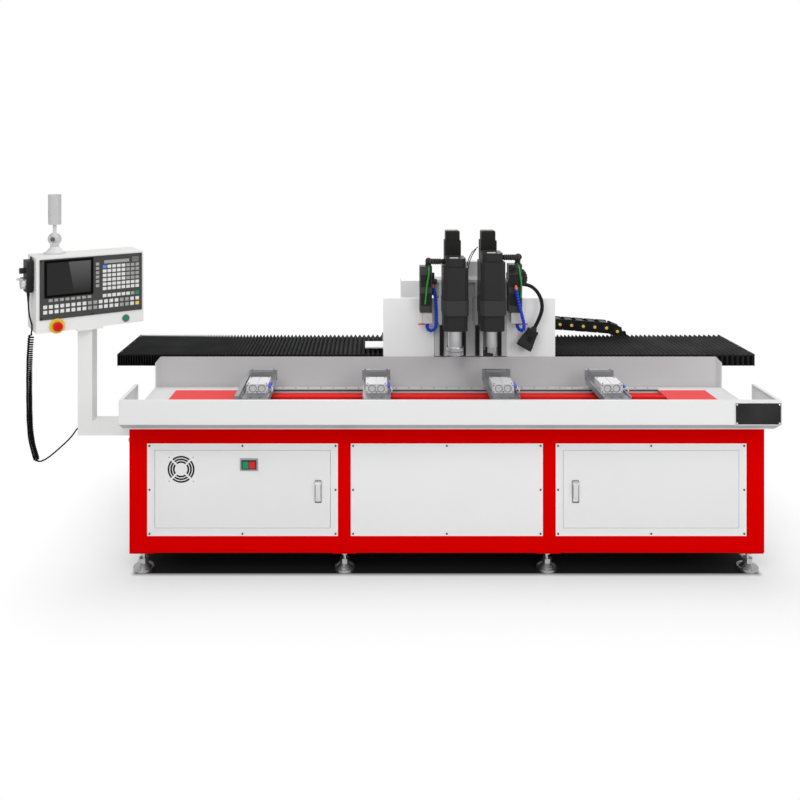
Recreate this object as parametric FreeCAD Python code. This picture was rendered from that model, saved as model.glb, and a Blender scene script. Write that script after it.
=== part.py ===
import FreeCAD, Part
import math
import os

# A floor-standing thermal drilling machine for long tubes and sheets.
# X runs along the machine, Y to the back, Z up from the floor, in millimetres.
# The origin is on the floor under the centre of the cabinet.

os.makedirs("parts", exist_ok=True)

# Shared values
overrun = 5.0
run_gap = 0.3
pin_gap = 0.05
sheet = 2.0
screw_head_r = 4.0
screw_head_h = 2.5
quarter_turn = 90.0
full_turn = 360.0

# Cabinet
base_width = 2774.0
base_depth = 900.0
rail_bottom_z = 98.5
bottom_rail_h = 73.5
top_rail_bottom_z = 576.0
base_top_z = 690.0
outer_post_w = 78.0
post_depth = 78.0
inner_post_w = 56.5
centre_bay_w = 839.0
pad_w = 105.0
pad_t = 12.5
foot_inset_x = 48.0
foot_inset_y = 55.0
panel_return = 15.0
panel_screw_inset = 10.0

# Levelling feet
foot_disc_r = 45.0
foot_disc_h = 14.0
foot_cone_h = 18.0
foot_cone_top_r = 15.0
foot_stud_r = 8.0
foot_nut_af = 35.0
foot_nut_h = 14.0
foot_lock_af = 38.0
foot_lock_h = 20.0

# Doors
door_edge_side = 32.0
door_edge_bottom = 34.0
door_edge_top = 29.0
door_gap = 1.5
door_return = 20.0
door_pin_r = 2.0
door_pin_in = 6.0
door_pin_back = 4.0
door_pin_len = 24.0
lock_in = 54.0
lock_up = 163.5
lock_w = 27.5
lock_h = 87.0
lock_plate_t = 3.0
lever_w = 20.0
lever_h = 66.0
lever_t = 7.0
lever_pin_r = 2.5
lever_pin_drop = 8.0
lever_cheek_w = 3.0

# Cooling fan behind the left door
fan_in = 116.0
fan_drop = 84.0
fan_size = 120.0
fan_depth = 38.0
fan_bore_r = 56.0
fan_hole_pitch = 105.0
fan_hole_r = 2.3
grille_inner_r = 28.0
grille_slot_w = 8.0
grille_web_w = 3.5
grille_slots = 3
grille_bar_w = 8.0
fan_hub_r = 20.0
fan_hub_back_t = 8.0
fan_strut_w = 6.0
rotor_hub_r = 19.0
rotor_hub_h = 22.0
rotor_r = 53.0
rotor_blades = 7
blade_chord = 30.0
blade_t = 1.6
blade_pitch = 35.0
rotor_pin_r = 3.0
rotor_front_gap = 4.0

# Switch plate on the left door
switch_in = 413.0
switch_drop = 63.0
switch_w = 79.0
switch_h = 54.0
switch_plate_t = 3.0
switch_button_pitch = 29.0
switch_button_w = 26.0
switch_button_h = 30.0
switch_button_out = 4.0
switch_block_depth = 24.0
switch_block_w = 66.0
switch_block_h = 40.0
switch_travel = 4.0

# Trough
trough_front_y = -600.0
trough_wall = 3.0
apron_top_z = 811.0
apron_bottom_z = 711.0
gutter_front_y = -530.0
gutter_z = 667.0
trough_lip = 15.0
end_wall_back_y = -366.0
splash_y = -12.0
splash_t = 2.5
splash_top_z = 839.0
splash_corner = 25.0
splash_strip_w = 30.0
splash_fold = 45.0

# Red bed and its rails
bed_half_w = 1260.0
bed_front_y = -500.0
bed_back_y = -112.0
bed_high_back_y = -134.0
bed_left_step_x = -900.0
bed_right_step_x = 1037.0
bed_low_t = 7.0
bed_high_t = 19.0
ridge_y = -230.0
ridge_w = 16.0
ridge_h = 14.0
clamp_rail_front_y = -380.0
clamp_rail_back_y = -125.0
rail_w = 20.0
clamp_rail_h = 20.0

# Beam and X drive
beam_front_y = 60.0
beam_back_y = 434.0
beam_wall = 12.0
beam_top_z = 775.0
strip_w = 140.0
strip_t = 25.0
x_rail_h = 15.0
x_rail_inset = 50.0
x_rail_half_len = 1500.0
x_screw_r = 12.5
x_screw_z = 800.0
x_block_l = 40.0
x_block_w = 60.0
x_block_h = 41.0
x_block_centre = 1530.0
x_nut_r = 22.0
x_nut_flange_r = 24.0
x_nut_flange_t = 10.0
x_nut_len = 80.0
x_nut_house_len = 60.0
x_nut_centre_x = 153.5

# Bellows
bellows_end_x = {"left": 1595.0, "right": 1581.0}
bellows_plate_t = 3.0
bellows_front_y = 40.0
bellows_back_y = 454.0
bellows_bottom_z = 780.0
bellows_top_z = 838.0
bellows_wall = 12.0

# Saddle
saddle_left_x = -270.0
saddle_right_x = 577.0
saddle_front_y = 50.0
saddle_back_y = 440.0
saddle_z = 828.0
saddle_t = 18.0
saddle_end_t = 6.0
saddle_end_z = 818.0
saddle_end_top_z = 850.0
carriage_l = 110.0
carriage_w = 60.0
carriage_inset = 80.0
carriage_gap = 3.0
y_rail_h = 12.0
y_rail_l = 370.0
y_rail_inset = 38.0
x_motor_w = 80.0
x_motor_l = 120.0
x_motor_right_in = 60.0
x_motor_back_in = 12.0
side_plate_l = 90.0
side_plate_w = 120.0
side_plate_t = 6.0
side_plate_front_in = 60.0

# Saddle covers
cover_front_y = -2.0
cover_t = 2.0
cover_bottom_z = 836.0
cover_top_z = 1124.0
cover_foot_y = 70.0
cover_return = 18.0
cover_clear = 2.0
junction_w = 140.0
junction_d = 100.0
junction_h = 190.0
junction_z = 1000.0
junction_left_x = -176.0
junction_front_y = 120.0
junction_post_t = 4.0

# Column and its two heads
column_left_x = -18.0
column_right_x = 337.0
column_front_y = -10.0
column_back_y = 40.0
column_z = 842.0
column_top_z = 1210.0
column_foot_back_y = 300.0
column_foot_t = 42.0
gusset_t = 12.0
gusset_in = 18.0
gusset_top_z = 1168.0
shelf_depth = 170.0
shelf_t = 12.0
top_plate_front_y = -38.0
top_plate_back_y = 60.0
top_plate_t = 12.0
head_x = {"left": 70.0, "right": 245.0}
channel_w = 50.0
channel_d = 35.0
z_rail_offset = 54.0
z_rail_t = 18.0
z_rail_end_in = 5.0
z_screw_r = 10.0
z_screw_y = 5.0
z_screw_bottom_in = 20.0
z_motor_w = 78.0
z_motor_front_y = -35.0
z_motor_h = 238.0
z_motor_cap_h = 48.0
z_motor_cap_in = 4.5
z_motor_cap_r = 8.0
rail_screw_pitch = 60.0
rail_screw_r = 4.0

# Head parts, measured from the head's own centre line
block_w = 44.0
block_z = 1015.0
block_h = 115.0
head_plate_w = 140.0
head_plate_y = -55.0
head_plate_t = 15.0
head_plate_z = 1005.0
head_plate_top_z = 1210.0
z_nut_w = 40.0
z_nut_z = 1050.0
z_nut_h = 50.0
z_nut_back_y = 20.0
body_w = 118.0
body_front_y = -185.0
body_chamfer = 18.0
body_top_z = {"left": 1343.0, "right": 1368.0}
body_cap_h = 42.0
body_cap_in = 11.0
band_z = 1076.0
band_h = 72.0
band_w = 122.0
band_front_y = -190.0
neck_w = 112.0
neck_z = 1000.0
neck_front_y = -180.0
nose_y = -120.0
nose_r = {"left": 34.0, "right": 27.0}
nose_z = 917.0
nose_ring_r = 42.0
nose_ring_h = 37.0
nose_ring_holes = 24
nose_ring_hole_r = 3.0
chuck_r = 18.0
chuck_top_z = 917.0
chuck_bottom_z = 880.0
drill_r = 6.0
drill_tip_z = 862.0
drill_tip_h = 6.0
spindle_r = 12.0
spindle_up = 40.0
collet_r = 21.0
collet_bottom_z = 890.0
collet_bore_r = 5.0
collet_bore_l = 35.0

# Valves, hoses and conduits on the column
valve_box_x = {"left": -93.0, "right": 338.0}
valve_box_w = {"left": 59.0, "right": 65.0}
valve_box_top_z = {"left": 1290.0, "right": 1300.0}
valve_front_y = -62.0
valve_back_y = -5.0
valve_z = 1066.0
grey_block_x = {"left": -77.0, "right": 351.0}
grey_block_w = {"left": 44.0, "right": 49.0}
grey_block_z = 1012.0
grey_block_in = 6.0
valve_bracket_z = 1140.0
valve_bracket_h = 110.0
valve_bracket_back_y = 10.0
pale_box_x = 130.0
pale_box_w = 100.0
pale_box_y = 130.0
pale_box_d = 70.0
pale_box_h = 106.0
lever_hub_x = {"left": -73.0, "right": 394.0}
valve_lever_y = -35.0
lever_hub_r = 6.0
valve_lever_len = {"left": 27.0, "right": 41.0}
valve_lever_w = 9.0
valve_lever_t = 5.0
lever_hub_h = 10.0
hose_r = 8.0
hose_x = {"left": -54.0, "right": 376.0}
hose_drop = 22.0
hose_turn_r = {"left": 20.0, "right": 22.0}
hose_top_z = 1184.0
nozzle_h = 14.0
nozzle_tip_r = 4.0
conduit_r = 11.0
conduit_turn_r = 30.0
conduit_drop = {"left": 21.0, "right": 27.0}
conduit_drop_x = {"left": -75.0, "right": 375.0}
gland_r = 14.0
gland_h = 14.0

# Tool cable, with its plug hanging beside the right head
tool_cable_r = 9.0
tool_plug_w = 54.0
tool_plug_mouth_w = 76.0
tool_plug_len = 100.0
tool_plug_t = 34.0
tool_cable_route = [
    (403.0, -33.0, 1199.0),
    (440.0, -33.0, 1199.0),
    (484.0, -34.0, 1165.0),
    (508.0, -36.0, 1108.0),
    (500.0, -38.0, 1045.0),
    (462.0, -40.0, 978.0),
]

# Cable chain behind the beam
chain_front_y = 480.0
chain_w = 80.0
chain_h = 60.0
chain_upper_left_x = 540.0
chain_upper_z = 900.0
chain_upper_end_z = 866.0
chain_bend_x = 990.0
chain_lower_z = 702.0
chain_lower_left_x = 100.0
chain_tray_z = 664.0
chain_tray_right_x = 1380.0
chain_anchor_t = 20.0

# Clamps
clamp_x = [-847.0, -306.0, 269.0, 762.0]
clamp_w = 124.0
clamp_front_y = -400.0
clamp_back_y = -103.0
clamp_z = 735.0
clamp_t = 20.0
clamp_carriage_l = 80.0
clamp_carriage_w = 42.0
clamp_carriage_gap = 6.0
clamp_screw_r = 5.5
clamp_screw_in = 16.0
clamp_screw_pitch = 40.0
clamp_edge_w = 4.0
clamp_edge_h = 10.0
rear_jaw_w = 134.0
rear_jaw_t = 17.0
rear_jaw_top_z = 805.0
rear_pad_w = 96.0
rear_pad_t = 5.0
rear_pad_z = 780.0
rear_pad_h = 19.0
jaw_w = 97.0
jaw_front_y = -318.0
jaw_back_y = -206.0
jaw_top_z = 796.0
jaw_hole_r = 16.5
jaw_hole_pitch = 40.5
jaw_hole_d = 6.0
jaw_groove_w = 2.5
jaw_groove_d = 3.0
jaw_slot_gap = 0.3
stop_bar_w = 19.0
stop_bar_front_y = -455.0
stop_bar_back_y = -100.0
stop_bar_top_z = 785.0

# Arm and control box
arm_w = 64.0
arm_left_x = -1631.0
arm_front_y = -400.0
arm_z = 593.0
arm_h = 64.0
post_top_z = 1065.0
arm_wall = 3.0
flange_w = 110.0
flange_t = 8.0
box_x = -1616.0
box_y = -330.9
box_yaw = 33.4
box_w = 462.0
box_d = 180.0
box_h = 322.0
panel_left = 217.5
panel_right = 222.5
panel_t = 4.0
panel_bottom_in = 56.0
panel_top_in = 7.0
panel_seat = 12.0
lcd_w = 204.0
lcd_h = 160.0
lcd_left_in = 18.5
lcd_top_in = 5.0
lcd_bezel_t = 2.0
unit_w = 300.0
unit_h = 180.0
unit_d = 60.0
estop_u = -146.8
estop_up = 25.0
estop_ring_r = 25.0
estop_ring_t = 3.0
estop_head_r = 20.0
estop_head_h = 14.0
estop_stem_r = 11.0
estop_stand = 9.0
start_u = 149.3
start_up = 24.5
start_ring_r = 14.0
start_ring_t = 3.0
start_r = 10.5
start_out = 5.0
button_tail = 16.0

# Lamp on the control box
lamp_u = -128.0
lamp_v = 42.0
lamp_flange_r = 46.5
lamp_flange_t = 6.0
lamp_cone_r = 40.0
lamp_cone_top_r = 19.0
lamp_cone_h = 25.0
lamp_ring_r = 27.5
lamp_ring_w = 24.0
lamp_collar_r = 19.0
lamp_collar_h = 6.5
lamp_neck_r = 8.0
lamp_eye_r = 15.0
lamp_eye_w = 16.0
lamp_pivot_z = 1553.0
lamp_head_r = 28.0
lamp_head_z = 1525.0
lamp_head_top_z = 1659.0
lamp_slot_h = 58.0
lamp_pin_r = 4.0
lamp_glass_r = 22.0
lamp_glass_d = 6.0

# Hand-wheel pendant on the box's left side
pendant_u = -262.0
pendant_t = 26.5
pendant_front_v = -50.0
pendant_d = 75.0
pendant_z = 1245.0
pendant_h = 136.0
pendant_plate_w = 40.0
pendant_plate_h = 60.0
pendant_hook_h = 14.0
pendant_hook_w = 18.0
pendant_hook_t = 5.0
dial_z = 1284.0
dial_r = 26.0
dial_t = 18.0
dial_shaft_r = 4.0
dial_shaft_l = 12.0
crank_r = 4.5
crank_l = 16.0
crank_offset = 17.0
knob_z = 1337.0
knob_r = 12.5
knob_t = 22.0

# Curly cord of the pendant
cord_wire_r = 2.75
curl_outer_r = 12.5
cord_gland_r = 6.0
cord_gland_l = 12.0
cord_lead_route = [
    (-1816.8, -478.3, 1233.0),
    (-1816.8, -478.3, 1185.0),
    (-1812.0, -478.0, 1135.0),
    (-1799.0, -476.5, 1098.0),
]
curl_route = [
    (-1804.0, -478.5, 1060.0),
    (-1811.0, -480.0, 960.0),
    (-1812.5, -478.5, 800.0),
    (-1811.0, -476.0, 660.0),
    (-1803.0, -473.0, 585.0),
    (-1787.0, -470.0, 526.0),
]
cord_tail_route = [
    (-1782.0, -469.0, 508.0),
    (-1767.0, -466.0, 502.0),
    (-1735.0, -452.0, 518.0),
    (-1700.0, -430.0, 548.0),
    (-1671.0, -402.0, 573.0),
    (-1652.0, -378.0, 598.0),
    (-1644.0, -368.0, 617.0),
    (-1631.0, -368.0, 617.0),
]

# Values worked out from the ones above
half_w = base_width / 2
half_d = base_depth / 2
bottom_rail_top_z = rail_bottom_z + bottom_rail_h
inner_bay_x = centre_bay_w / 2
inner_post_out_x = inner_bay_x + inner_post_w
outer_post_in_x = half_w - outer_post_w
trough_floor_top_z = base_top_z + trough_wall
bed_low_z = trough_floor_top_z + bed_low_t
bed_high_z = trough_floor_top_z + bed_high_t
clamp_rail_top_z = bed_low_z + clamp_rail_h
strip_top_z = beam_top_z + strip_t
x_rail_top_z = strip_top_z + x_rail_h
beam_mid_y = (beam_front_y + beam_back_y) / 2
saddle_top_z = saddle_z + saddle_t
y_rail_top_z = saddle_top_z + y_rail_h
foot_top_z = y_rail_top_z + column_foot_t
box_z = post_top_z + flange_t
box_top_z = box_z + box_h
door_face_y = -half_d
door_open_in = inner_post_out_x + door_edge_side
door_open_out = outer_post_in_x - door_edge_side
door_open_bottom_z = bottom_rail_top_z + door_edge_bottom
door_open_top_z = top_rail_bottom_z - door_edge_top
lock_centre_x = door_open_in + lock_in
lock_centre_z = door_open_bottom_z + lock_up
fan_x = fan_in - door_open_out
fan_z = door_open_top_z - fan_drop
switch_x = switch_in - door_open_out
switch_z = door_open_top_z - switch_drop
body_z = band_z + band_h
sides = ["left", "right"]
signs = {"left": -1, "right": 1}

X_AXIS = FreeCAD.Vector(1, 0, 0)
Y_AXIS = FreeCAD.Vector(0, 1, 0)
Z_AXIS = FreeCAD.Vector(0, 0, 1)


# Small shape makers
def vec(x, y, z):
    return FreeCAD.Vector(x, y, z)


def box(x0, x1, y0, y1, z0, z1):
    low = vec(min(x0, x1), min(y0, y1), min(z0, z1))
    return Part.makeBox(abs(x1 - x0), abs(y1 - y0), abs(z1 - z0), low)


def rod(r, length, x, y, z, axis=Z_AXIS):
    return Part.makeCylinder(r, length, vec(x, y, z), axis)


def tube(outer_r, inner_r, length, x, y, z, axis=Z_AXIS):
    outer = rod(outer_r, length, x, y, z, axis)
    return outer.cut(rod(inner_r, length, x, y, z, axis))


def prism_x(points, x0, x1):
    corners = [vec(x0, y, z) for y, z in points]
    face = Part.Face(Part.makePolygon(corners + corners[:1]))
    return face.extrude(vec(x1 - x0, 0, 0))


def prism_z(points, z0, z1):
    corners = [vec(x, y, z0) for x, y in points]
    face = Part.Face(Part.makePolygon(corners + corners[:1]))
    return face.extrude(vec(0, 0, z1 - z0))


def open_pan(x0, x1, y0, y1, z0, z1, wall):
    """A sheet at y0 with folded returns that reach back to y1."""
    toward = 1 if y1 > y0 else -1
    inner = box(x0 + wall, x1 - wall, y0 + toward * wall, y1 + toward * overrun, z0 + wall, z1 - wall)
    return box(x0, x1, y0, y1, z0, z1).cut(inner)


def group(shapes):
    return Part.makeCompound(shapes)


def save(name, shape):
    shape.exportStep("parts/" + name + ".step")


def rounded_route(points):
    """Straight runs joined by tangent arcs, each as large as its two runs allow."""
    corners = [vec(*point) for point in points]
    edges = []
    radii = []
    start = corners[0]
    arc_share = 0.45
    for before, here, after in zip(corners, corners[1:], corners[2:]):
        back = before - here
        ahead = after - here
        reach = arc_share * min(back.Length, ahead.Length)
        turn = math.pi - back.getAngle(ahead)
        radius = reach / math.tan(turn / 2)
        back.normalize()
        ahead.normalize()
        enter = here + back * reach
        leave = here + ahead * reach
        middle_way = back + ahead
        middle_way.normalize()
        to_centre = math.hypot(radius, reach)
        middle = here + middle_way * (to_centre - radius)
        edges.append(Part.LineSegment(start, enter).toShape())
        edges.append(Part.Arc(enter, middle, leave).toShape())
        radii.append(radius)
        start = leave
    edges.append(Part.LineSegment(start, corners[-1]).toShape())
    return edges, radii


def sweep(edges, r):
    path = Part.Wire(edges)
    first = edges[0]
    start = first.Vertexes[0].Point
    heading = first.tangentAt(first.FirstParameter)
    circle = Part.Wire([Part.makeCircle(r, start, heading)])
    return path.makePipeShell([circle], True, False)


def cord_tube(name, points, r):
    edges, radii = rounded_route(points)
    solid = sweep(edges, r)
    length = sum(edge.Length for edge in edges)
    print(name, "radii", [round(radius, 1) for radius in radii])
    ratio = solid.Volume / (math.pi * r * r * length)
    print(name, "length", round(length, 1), "volume ratio", round(ratio, 5))
    return solid


def held_tube(points, turn_r, r):
    """A tube with straight runs and arcs of one radius, for hoses held at both ends."""
    corners = [vec(*point) for point in points]
    edges = []
    start = corners[0]
    for before, here, after in zip(corners, corners[1:], corners[2:]):
        back = before - here
        ahead = after - here
        turn = math.pi - back.getAngle(ahead)
        reach = turn_r * math.tan(turn / 2)
        back.normalize()
        ahead.normalize()
        enter = here + back * reach
        leave = here + ahead * reach
        middle_way = back + ahead
        middle_way.normalize()
        middle = here + middle_way * (math.hypot(turn_r, reach) - turn_r)
        if (enter - start).Length > pin_gap:
            edges.append(Part.LineSegment(start, enter).toShape())
        edges.append(Part.Arc(enter, middle, leave).toShape())
        start = leave
    if (corners[-1] - start).Length > pin_gap:
        edges.append(Part.LineSegment(start, corners[-1]).toShape())
    return sweep(edges, r)


# Cabinet
def foot_places():
    outer = half_w - foot_inset_x
    inner = inner_bay_x + inner_post_w / 2
    y = half_d - foot_inset_y
    return [(sx * px, sy * y) for sx in (-1, 1) for px in (outer, inner) for sy in (-1, 1)]


def make_base_frame():
    solids = []
    for side in (-1, 1):
        face = side * half_d
        back = side * (half_d - post_depth)
        solids.append(box(-half_w, half_w, face, back, rail_bottom_z, bottom_rail_top_z))
        solids.append(box(-half_w, half_w, face, back, top_rail_bottom_z, base_top_z))
        for end in (-1, 1):
            solids.append(box(end * outer_post_in_x, end * half_w, face, back,
                          bottom_rail_top_z, top_rail_bottom_z))
            solids.append(box(end * inner_bay_x, end * inner_post_out_x, face, back,
                              bottom_rail_top_z, top_rail_bottom_z))
    inside = half_d - post_depth
    for end in (-1, 1):
        for near, far in ((outer_post_in_x, half_w), (inner_bay_x, inner_post_out_x)):
            solids.append(box(end * near, end * far, -inside, inside, rail_bottom_z, bottom_rail_top_z))
            solids.append(box(end * near, end * far, -inside, inside, top_rail_bottom_z, base_top_z))
    for x, y in foot_places():
        pad = box(x - pad_w / 2, x + pad_w / 2, y - post_depth / 2, y + post_depth / 2,
                  rail_bottom_z - pad_t, rail_bottom_z)
        solids.append(pad.cut(rod(foot_stud_r + pin_gap, pad_t, x, y, rail_bottom_z - pad_t)))
    tray_left = chain_lower_left_x - chain_anchor_t
    tray_back = chain_front_y + chain_w
    solids.append(box(tray_left, chain_tray_right_x, half_d, tray_back, chain_tray_z,
                      chain_lower_z - chain_h / 2 - run_gap))
    solids.append(box(tray_left, chain_lower_left_x, chain_front_y, tray_back,
                      chain_lower_z - chain_h / 2 - run_gap, chain_lower_z + chain_h / 2))
    return group(solids)


def hexagon(af, x, y):
    corner = af / math.sqrt(3)
    sides_of_nut = 6
    angles = [math.radians(full_turn * i / sides_of_nut) for i in range(sides_of_nut)]
    return [(x + corner * math.cos(a), y + corner * math.sin(a)) for a in angles]


def make_levelling_feet():
    solids = []
    pad_z = rail_bottom_z - pad_t
    for x, y in foot_places():
        disc = rod(foot_disc_r, foot_disc_h, x, y, 0)
        cone = Part.makeCone(foot_disc_r - foot_disc_h / 2, foot_cone_top_r, foot_cone_h,
                             vec(x, y, foot_disc_h))
        stem_z = foot_disc_h + foot_cone_h
        stud = rod(foot_stud_r, rail_bottom_z - stem_z, x, y, stem_z)
        nut = prism_z(hexagon(foot_nut_af, x, y), pad_z - foot_nut_h, pad_z)
        lock = prism_z(hexagon(foot_lock_af, x, y), stem_z, stem_z + foot_lock_h)
        solids.append(disc.fuse([cone, stud, nut, lock]))
    return group(solids)


def front_panel_spans():
    return [
        (-outer_post_in_x, -inner_post_out_x),
        (-inner_bay_x, inner_bay_x),
        (inner_post_out_x, outer_post_in_x),
    ]


def door_cut(side):
    """The opening in an outer front sheet, with its folded edge."""
    x0 = signs[side] * door_open_in
    x1 = signs[side] * door_open_out
    low = min(x0, x1)
    high = max(x0, x1)
    hole = box(low, high, door_face_y - overrun, door_face_y + panel_return + overrun,
               door_open_bottom_z, door_open_top_z)
    frame_back = door_face_y + panel_return
    frame = box(low - sheet, high + sheet, door_face_y, frame_back,
                door_open_bottom_z - sheet, door_open_top_z + sheet).cut(hole)
    pin_x = signs[side] * (door_open_out - door_gap - door_pin_in)
    pin_y = door_face_y + door_pin_back
    pin_hole = rod(door_pin_r + pin_gap, door_open_top_z - door_open_bottom_z + 2 * sheet,
                   pin_x, pin_y, door_open_bottom_z - sheet)
    return hole, frame, pin_hole


def make_front_sheets():
    """The two outer front sheets, each with its door opening."""
    solids = []
    spans = front_panel_spans()
    for side, (x0, x1) in (("left", spans[0]), ("right", spans[-1])):
        front = open_pan(x0, x1, -half_d, -half_d + panel_return, bottom_rail_top_z, top_rail_bottom_z, sheet)
        hole, frame, pin_hole = door_cut(side)
        solids.append(front.cut(hole).fuse(frame).cut(pin_hole))
    return group(solids)


def make_side_panels():
    solids = []
    z0 = bottom_rail_top_z
    z1 = top_rail_bottom_z
    spans = front_panel_spans()
    for index, (x0, x1) in enumerate(spans):
        front = open_pan(x0, x1, -half_d, -half_d + panel_return, z0, z1, sheet)
        if index == 1:
            solids.append(front)
        solids.append(open_pan(x0, x1, half_d, half_d - panel_return, z0, z1, sheet))
    inside = half_d - post_depth
    for end in (-1, 1):
        x_face = end * half_w
        x_back = end * (half_w - panel_return)
        pan = box(x_face, x_back, -inside, inside, z0, z1)
        hollow = box(end * (half_w - sheet), end * (half_w - panel_return - overrun),
                     -inside + sheet, inside - sheet, z0 + sheet, z1 - sheet)
        solids.append(pan.cut(hollow))
    return group(solids)


def screw_ring(u0, u1, z0, z1):
    """Eight places round a panel, three along the top and bottom and one on each side."""
    u_low = u0 + panel_screw_inset
    u_high = u1 - panel_screw_inset
    z_low = z0 + panel_screw_inset
    z_high = z1 - panel_screw_inset
    u_mid = (u0 + u1) / 2
    z_mid = (z0 + z1) / 2
    rows = [(u, z) for u in (u_low, u_mid, u_high) for z in (z_low, z_high)]
    return rows + [(u_low, z_mid), (u_high, z_mid)]


def make_panel_screws():
    solids = []
    z0 = bottom_rail_top_z
    z1 = top_rail_bottom_z
    for x0, x1 in front_panel_spans():
        for x, z in screw_ring(x0, x1, z0, z1):
            solids.append(rod(screw_head_r, screw_head_h, x, -half_d - screw_head_h, z, Y_AXIS))
            solids.append(rod(screw_head_r, screw_head_h, x, half_d, z, Y_AXIS))
    inside = half_d - post_depth
    for y, z in screw_ring(-inside, inside, z0, z1):
        solids.append(rod(screw_head_r, screw_head_h, half_w, y, z, X_AXIS))
        solids.append(rod(screw_head_r, screw_head_h, -half_w - screw_head_h, y, z, X_AXIS))
    return group(solids)


# Doors, locks, fan and switches
def door_span(side):
    x0 = signs[side] * (door_open_in + door_gap)
    x1 = signs[side] * (door_open_out - door_gap)
    return min(x0, x1), max(x0, x1)


def grille_slots_shape():
    slots = []
    r = grille_inner_r
    for _ in range(grille_slots):
        slots.append(tube(r + grille_slot_w, r, sheet + 2 * overrun,
                          fan_x, door_face_y - overrun, fan_z, Y_AXIS))
        r += grille_slot_w + grille_web_w
    rings = slots[0].fuse(slots[1:])
    half_bar = grille_bar_w / 2
    for angle in (quarter_turn / 2, -quarter_turn / 2):
        bar = box(fan_x - fan_size, fan_x + fan_size,
                  door_face_y - 2 * overrun, door_face_y + sheet + 2 * overrun,
                  fan_z - half_bar, fan_z + half_bar)
        bar.rotate(vec(fan_x, door_face_y, fan_z), Y_AXIS, angle)
        rings = rings.cut(bar)
    return rings


def fan_hole_places():
    half = fan_hole_pitch / 2
    return [(fan_x + sx * half, fan_z + sz * half) for sx in (-1, 1) for sz in (-1, 1)]


def lock_seat(side):
    x = signs[side] * lock_centre_x
    plate_y = door_face_y - lock_plate_t
    plate = box(x - lock_w / 2, x + lock_w / 2, plate_y, door_face_y,
                lock_centre_z - lock_h / 2, lock_centre_z + lock_h / 2)
    pin_z = lock_centre_z + lock_h / 2 - lever_pin_drop
    pin_y = plate_y - run_gap - lever_t / 2
    cheeks = []
    inner = lever_w / 2 + run_gap
    for end in (-1, 1):
        cheek = box(x + end * inner, x + end * (inner + lever_cheek_w), pin_y - lever_t / 2, plate_y,
                    pin_z - lever_t, pin_z + lever_t / 2)
        cheeks.append(cheek)
    reach = inner + lever_cheek_w
    pin = rod(lever_pin_r, 2 * reach, x - reach, pin_y, pin_z, X_AXIS)
    return plate.fuse(cheeks + [pin])


def make_door(side):
    x0, x1 = door_span(side)
    z0 = door_open_bottom_z + door_gap
    z1 = door_open_top_z - door_gap
    door = open_pan(x0, x1, door_face_y, door_face_y + door_return, z0, z1, sheet)
    pin_x = signs[side] * (door_open_out - door_gap - door_pin_in)
    pin_y = door_face_y + door_pin_back
    lower = rod(door_pin_r, door_pin_len, pin_x, pin_y, door_open_bottom_z - sheet)
    upper = rod(door_pin_r, door_pin_len, pin_x, pin_y, door_open_top_z + sheet - door_pin_len)
    door = door.fuse([lower, upper, lock_seat(side)])
    if side == "left":
        door = door.cut(grille_slots_shape())
        for x, z in fan_hole_places():
            door = door.cut(rod(fan_hole_r, sheet + 2 * overrun, x, door_face_y - overrun, z, Y_AXIS))
        for x in switch_button_places():
            door = door.cut(switch_button_block(x, door_face_y - overrun, door_face_y + overrun, run_gap))
    return door


def make_lock_lever(side):
    x = signs[side] * lock_centre_x
    plate_y = door_face_y - lock_plate_t
    pin_z = lock_centre_z + lock_h / 2 - lever_pin_drop
    pin_y = plate_y - run_gap - lever_t / 2
    bar = box(x - lever_w / 2, x + lever_w / 2, pin_y - lever_t / 2, pin_y + lever_t / 2,
              pin_z - lever_h, pin_z)
    eye = rod(lever_t / 2, lever_w, x - lever_w / 2, pin_y, pin_z, X_AXIS)
    bore = rod(lever_pin_r + pin_gap, lever_w, x - lever_w / 2, pin_y, pin_z, X_AXIS)
    return bar.fuse(eye).cut(bore)


def fan_front_y():
    return door_face_y + sheet


def make_fan_housing():
    y0 = fan_front_y()
    half = fan_size / 2
    frame = box(fan_x - half, fan_x + half, y0, y0 + fan_depth, fan_z - half, fan_z + half)
    frame = frame.cut(rod(fan_bore_r, fan_depth, fan_x, y0, fan_z, Y_AXIS))
    for x, z in fan_hole_places():
        frame = frame.cut(rod(fan_hole_r, fan_depth, x, y0, z, Y_AXIS))
    hub_y = y0 + fan_depth - fan_hub_back_t
    hub = rod(fan_hub_r, fan_hub_back_t, fan_x, hub_y, fan_z, Y_AXIS)
    struts = []
    for sx, sz in ((1, 0), (-1, 0), (0, 1), (0, -1)):
        thick_x = fan_strut_w / 2 if sx == 0 else 0
        thick_z = fan_strut_w / 2 if sz == 0 else 0
        far = fan_bore_r + fan_strut_w / 2
        strut = box(fan_x - thick_x, fan_x + thick_x + sx * far, hub_y, hub_y + fan_hub_back_t,
                    fan_z - thick_z, fan_z + thick_z + sz * far)
        struts.append(strut)
    bore = rod(rotor_pin_r + pin_gap, fan_hub_back_t, fan_x, hub_y, fan_z, Y_AXIS)
    return frame.fuse([hub] + struts).cut(bore)


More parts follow.
